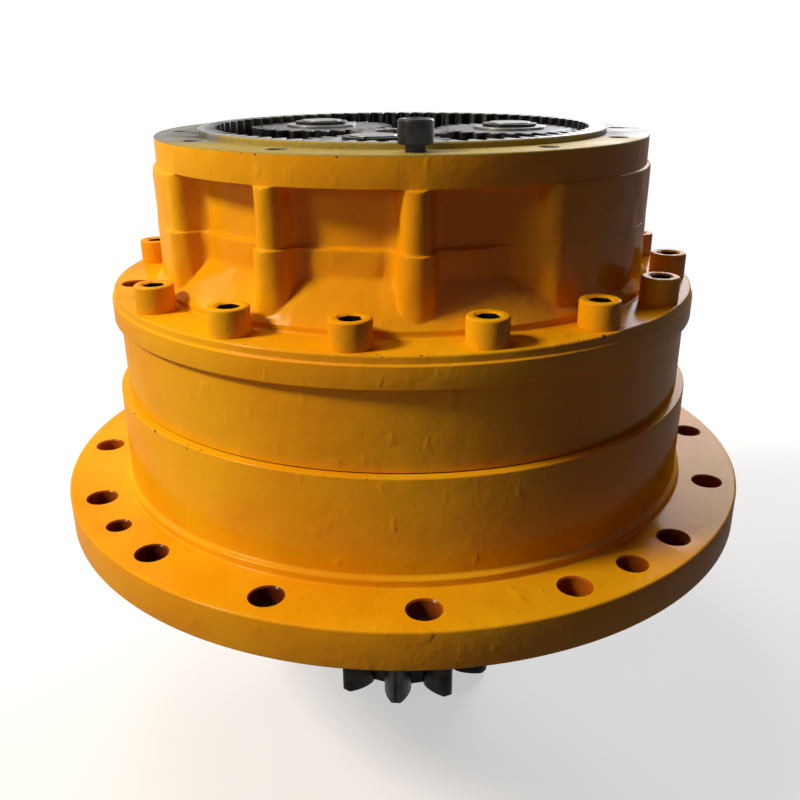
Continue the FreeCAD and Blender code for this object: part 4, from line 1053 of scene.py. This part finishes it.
@dataclass(frozen=True)
class SocketScrew:
    """Socket head cap screw: a plain head with a rounded rim, its hexagon socket and its shank."""

    shank_radius: float
    head_radius: float
    head_height: float
    socket: float                   # across the flats
    socket_depth: float
    rim: float = 0.0016
    mouth: float = 0.0012           # width and depth of the painted funnel round the socket
    under_edge: float = 0.0004      # bevels under the head and at the shank's end
    end_edge: float = 0.001
    steps: int = 40

    def body(self, length: float) -> BMesh:
        """Models the screw standing on z = 0, on the gear axis.

        Args:
            length: Length of the shank.

        Returns:
            The mesh, with the socket's faces numbered 1.
        """
        body = bmesh.new()
        corner = self.socket / math.sqrt(3) - self.mouth
        arc = [(self.head_radius - self.rim * (1 - math.sin(turn)),
                self.head_height - self.rim * (1 - math.cos(turn)))
               for turn in (math.pi / 2 * k / 4 for k in range(5))]
        outline = [(corner + self.mouth, self.head_height)] + arc
        outline += [(self.head_radius, self.under_edge), (self.head_radius - self.under_edge, 0.0),
                    (self.shank_radius, 0.0), (self.shank_radius, -length + self.end_edge),
                    (self.shank_radius - self.end_edge, -length), (0.0, -length)]
        spun(body, outline, Vector((0, 0, 0)), self.steps)
        bmesh.ops.remove_doubles(body, verts=body.verts, dist=MERGE)
        rim = [edge for edge in body.edges if edge.is_boundary]
        hexagon = bmesh.ops.create_circle(body, segments=6, radius=corner)["verts"]
        bmesh.ops.translate(body, verts=hexagon, vec=(0, 0, self.head_height - self.mouth))
        loop = list(dict.fromkeys(edge for vertex in hexagon for edge in vertex.link_edges))
        bmesh.ops.bridge_loops(body, edges=rim + loop)
        made = bmesh.ops.extrude_edge_only(body, edges=loop)["geom"]
        walls = [item for item in made if isinstance(item, BMFace)]
        low = [item for item in made if isinstance(item, BMVert)]
        bmesh.ops.translate(body, verts=low, vec=(0, 0, self.mouth - self.socket_depth))
        floor = bmesh.ops.contextual_create(body, geom=low)["faces"]
        for face in walls + floor:
            face.material_index = 1
        clean(body)
        return body


@dataclass
class CasingScrews:
    """The ring of screws that clamps the casings, with one place left empty, and the motor's lone screw."""

    clamp: SocketScrew = SocketScrew(0.010, 0.015, 0.020, 0.017, 0.010)
    circle: float = 0.234
    places: int = 16
    empty: float = -3.5             # the place without a screw, in pitches from the front
    lone: SocketScrew = SocketScrew(0.007, 0.012, 0.016, 0.014, 0.008)
    lone_circle: float = 0.188
    seed: int = 7

    def build(self) -> None:
        """Builds the painted ring of screws, each turned by chance, and the blackened motor screw."""
        chance = random.Random(self.seed)
        low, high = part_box("flange_screws")
        head = self.clamp.head_height
        pitch = 360.0 / self.places
        ring = bmesh.new()
        for turn in spaced(self.places, pitch / 2):
            if abs((turn - self.empty * pitch) % 360.0) < 1.0:
                continue
            one = self.clamp.body(high.z - low.z - head)
            bmesh.ops.rotate(one, verts=one.verts,
                             matrix=Matrix.Rotation(chance.uniform(0, math.pi / 3), 3, "Z"))
            bmesh.ops.translate(one, verts=one.verts, vec=around(self.circle, turn, high.z - head))
            step = bpy.data.meshes.new("one_screw")
            one.to_mesh(step)
            one.free()
            ring.from_mesh(step)
            bpy.data.meshes.remove(step)
        seat(finished("casing_screw_ring", ring, ENAMEL, BLACKED_STEEL), "flange_screws")
        low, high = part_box("motor_screw")
        head = self.lone.head_height
        body = self.lone.body(high.z - low.z - head)
        bmesh.ops.translate(body, verts=body.verts, vec=around(self.lone_circle, 0.0, high.z - head))
        seat(finished("motor_socket_screw", body, BLACKED_STEEL), "motor_screw")


@dataclass
class GearTrain:
    """Everything that turns, with the pieces that carry it."""

    tooth_edge: float = 0.0005
    small_edge: float = 0.0003
    pinion_edge: float = 0.0012
    ring_wall: float = 0.1695       # the first ring gear's outer wall lies beyond this radius

    def build(self) -> None:
        """Copies what shows with rounded edges and dresses what is hidden inside."""
        for number in (1, 2, 3):
            gear = refined(f"first_planet_{number}", f"first_planet_gear_{number}", self.tooth_edge)
            GEAR_STEEL.dress(gear)
            bush = refined(f"first_bush_{number}", f"first_planet_bush_{number}", self.small_edge)
            BUSH_BRONZE.dress(bush)
        self.dress_ring()
        shown = (("first_sun", "first_sun_splined", self.tooth_edge, GEAR_STEEL),
                 ("first_pins", "first_planet_pins", self.tooth_edge, TURNED_STEEL),
                 ("first_thrust_washers", "first_planet_washers", self.small_edge, TURNED_STEEL),
                 ("first_snap_rings", "first_pin_rings", self.small_edge, BLACKED_STEEL),
                 ("first_carrier", "first_carrier_plate", self.tooth_edge, CARRIER_IRON),
                 ("pinion_shaft", "output_pinion_shaft", self.pinion_edge, PINION_STEEL),
                 ("seal_carrier", "neck_seal_carrier", self.small_edge, TURNED_STEEL),
                 ("neck_snap_ring", "neck_retaining_ring", self.small_edge, BLACKED_STEEL),
                 ("shaft_seal", "neck_shaft_seal", self.small_edge, SEAL_RUBBER))
        for cad_node, name, edge, finish in shown:
            finish.dress(refined(cad_node, name, edge))
        self.dress_hidden()

    def dress_ring(self) -> None:
        """Copies the first ring gear: dark teeth, a bright top and an oversprayed wall outside."""
        ring = refined("first_ring_gear", "first_ring_gear_toothed", self.tooth_edge)
        for finish in (GEAR_STEEL, TURNED_STEEL, FACED_IRON):
            ring.data.materials.append(finish.material())
        for face in ring.data.polygons:
            if abs(face.normal.z) > FLAT:
                face.material_index = 1
            elif face.center.xy.length > self.ring_wall:
                face.material_index = 2

    def dress_hidden(self) -> None:
        """Gives each CAD node that stays its own finish."""
        finishes = {"machined_steel": TURNED_STEEL, "gear_steel": GEAR_STEEL, "dark_steel": BLACKED_STEEL,
                    "bearing_steel": BEARING_STEEL, "bronze": BUSH_BRONZE, "cast_carrier": CARRIER_IRON,
                    "seal_rubber": SEAL_RUBBER, "enamel": ENAMEL}
        for cad_node, slot in SLOTS.items():
            kept = frame["nodes"][cad_node]
            if not kept.hide_render:
                finishes[slot].dress(kept)
                LOG.info("%s keeps its CAD shape", kept.name)


@dataclass(frozen=True)
class Lamp:
    """A square lamp that looks at the middle of the stack."""

    name: str
    turn: float
    out: float                      # distance from the gear axis
    height: float
    size: float                     # side of the square
    power: float                    # in watts
    colour: str
    aim: float = 0.1                # height that it looks at

    def hang(self) -> None:
        """Hangs the lamp in the scene."""
        light = bpy.data.lights.new(self.name, "AREA")
        light.size = self.size
        light.energy = self.power
        light.color = linear(self.colour)[:3]
        held = bpy.data.objects.new(self.name, light)
        held.location = around(self.out, self.turn, self.height)
        held.rotation_euler = (Vector((0, 0, self.aim)) - held.location).to_track_quat("-Z", "Y").to_euler()
        bpy.context.scene.collection.objects.link(held)


# A warm key lamp at the left with two weaker ones beside it, and cooler ones above and behind.
LAMPS = (Lamp("key_lamp", -72.0, 2.2, 2.0, 0.55, 80.0, "#FFF0DC"),
         Lamp("low_lamp", -61.0, 2.6, 0.85, 0.6, 9.0, "#FFEEDA"),
         Lamp("side_lamp", -112.0, 2.6, 1.75, 0.5, 5.0, "#FFEEDA"),
         Lamp("sky_lamp", -125.0, 1.0, 2.6, 1.2, 19.0, "#FAFAF0"),
         Lamp("back_lamp", 150.0, 2.3, 1.0, 1.0, 46.0, "#F6F8FF"))


@dataclass
class Studio:
    """Pale floor, soft lamps and the camera where the photograph was taken."""

    floor_size: float = 40.0
    floor_colour: str = "#BABAB9"   # the share of the paper that takes the shadow
    floor_bounce: str = "#58534E"   # what the paper sends back on to the object
    floor_glow: float = 0.52        # and what it shows of its own white near the object
    fade_from: float = 0.6          # from here outwards the paper turns plain white
    fade_to: float = 1.7
    ambient: float = 0.043
    ambient_colour: str = "#FFCBA4"
    image_width: int = 800
    focal_pixels: float = 860.08
    sensor: float = 36.0            # in millimetres, as Blender has it
    camera_turn: float = -2.8
    camera_out: float = 0.7759
    camera_height: float = 0.3815
    look_down: float = 21.745
    roll: float = -0.247
    middle_x: float = 402.83        # where the lens looks, in pixels of the photograph

    def build(self) -> None:
        """Sets the floor, the world, the lamps and the camera."""
        self.floor()
        self.world()
        for lamp in LAMPS:
            lamp.hang()
        self.camera()
        bpy.context.scene.view_settings.view_transform = "Standard"

    def floor(self) -> None:
        """Lays the floor under the pinion's end."""
        body = bmesh.new()
        bmesh.ops.create_grid(body, x_segments=1, y_segments=1, size=self.floor_size / 2)
        bmesh.ops.translate(body, verts=body.verts, vec=(0, 0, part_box("pinion_shaft")[0].z))
        floor = finished("studio_floor", body)
        floor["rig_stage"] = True
        paper = bpy.data.materials.new("studio_paper_matt_white")
        paper.use_nodes = True
        tree = paper.node_tree
        tree.nodes.clear()
        place = node(tree, "ShaderNodeTexCoord").outputs["Object"]
        away = node(tree, "ShaderNodeVectorMath", {0: place}, operation="LENGTH")
        far = node(tree, "ShaderNodeMapRange", {"Value": away.outputs["Value"], "From Min": self.fade_from,
                                                "From Max": self.fade_to}, interpolation_type="SMOOTHSTEP")
        near = node(tree, "ShaderNodeMix", {0: far, 6: self.floor_colour, 7: "#000000"}, data_type="RGBA")
        seen = self.seen(tree)
        colour = node(tree, "ShaderNodeMix", {0: seen, 6: self.floor_bounce, 7: near.outputs[2]},
                      data_type="RGBA")
        glow = node(tree, "ShaderNodeMapRange", {"Value": far, "To Min": self.floor_glow})
        shown = node(tree, "ShaderNodeMath", {0: glow, 1: seen}, operation="MULTIPLY")
        shader = node(tree, "ShaderNodeBsdfPrincipled", {
            "Base Color": colour.outputs[2], "Roughness": 1.0, "Specular IOR Level": 0.0,
            "Emission Color": "#FFFFFF", "Emission Strength": shown})
        node(tree, "ShaderNodeOutputMaterial", {"Surface": shader})
        floor.data.materials.append(paper)

    def world(self) -> None:
        """Lights softly from all round and shows white to the camera and to reflections."""
        world = bpy.data.worlds.new("studio_world")
        bpy.context.scene.world = world
        world.use_nodes = True
        tree = world.node_tree
        tree.nodes.clear()
        soft = node(tree, "ShaderNodeBackground", {"Color": self.ambient_colour, "Strength": self.ambient})
        white = node(tree, "ShaderNodeBackground", {"Color": "#FFFFFF", "Strength": 1.0})
        mixed = node(tree, "ShaderNodeMixShader", {0: self.seen(tree), 1: soft, 2: white})
        node(tree, "ShaderNodeOutputWorld", {"Surface": mixed})

    def seen(self, tree: NodeTree) -> Node:
        """Tells what the camera sees, straight or through gloss and glass, from what only lights.

        Args:
            tree: The node tree that asks.

        Returns:
            A node that gives 1 for camera, glossy and transmission rays.
        """
        rays = node(tree, "ShaderNodeLightPath")
        shown = rays.outputs["Is Camera Ray"]
        for kind in ("Is Glossy Ray", "Is Transmission Ray"):
            shown = node(tree, "ShaderNodeMath", {0: shown, 1: rays.outputs[kind]}, operation="MAXIMUM")
        return shown

    def camera(self) -> None:
        """Stands the camera where the photograph's circles put it."""
        lens = bpy.data.cameras.new("photograph_camera")
        lens.sensor_width = self.sensor
        lens.lens = self.focal_pixels / self.image_width * self.sensor
        lens.shift_x = (self.image_width / 2 - self.middle_x) / self.image_width
        held = bpy.data.objects.new("photograph_camera", lens)
        aim = (Matrix.Rotation(math.radians(self.camera_turn), 4, "Z")
               @ Matrix.Rotation(math.radians(90 - self.look_down), 4, "X")
               @ Matrix.Rotation(math.radians(self.roll), 4, "Z"))
        place = around(self.camera_out, self.camera_turn, self.camera_height)
        held.matrix_world = Matrix.Translation(place) @ aim
        bpy.context.scene.collection.objects.link(held)
        bpy.context.scene.camera = held


def corners() -> list[list[float]]:
    """Gives the shown object's box as plain numbers, lowest corner first."""
    return [[round(value, 6) for value in corner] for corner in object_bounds()]


def main() -> None:
    """Builds the classes in order."""
    logging.basicConfig(level=logging.INFO, format="%(name)s: %(message)s")
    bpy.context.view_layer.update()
    for assembly in (UpperCasing, LowerCasing, MiddleBody, CasingScrews, GearTrain, Studio):
        assembly().build()


if __name__ == "__main__":
    main()
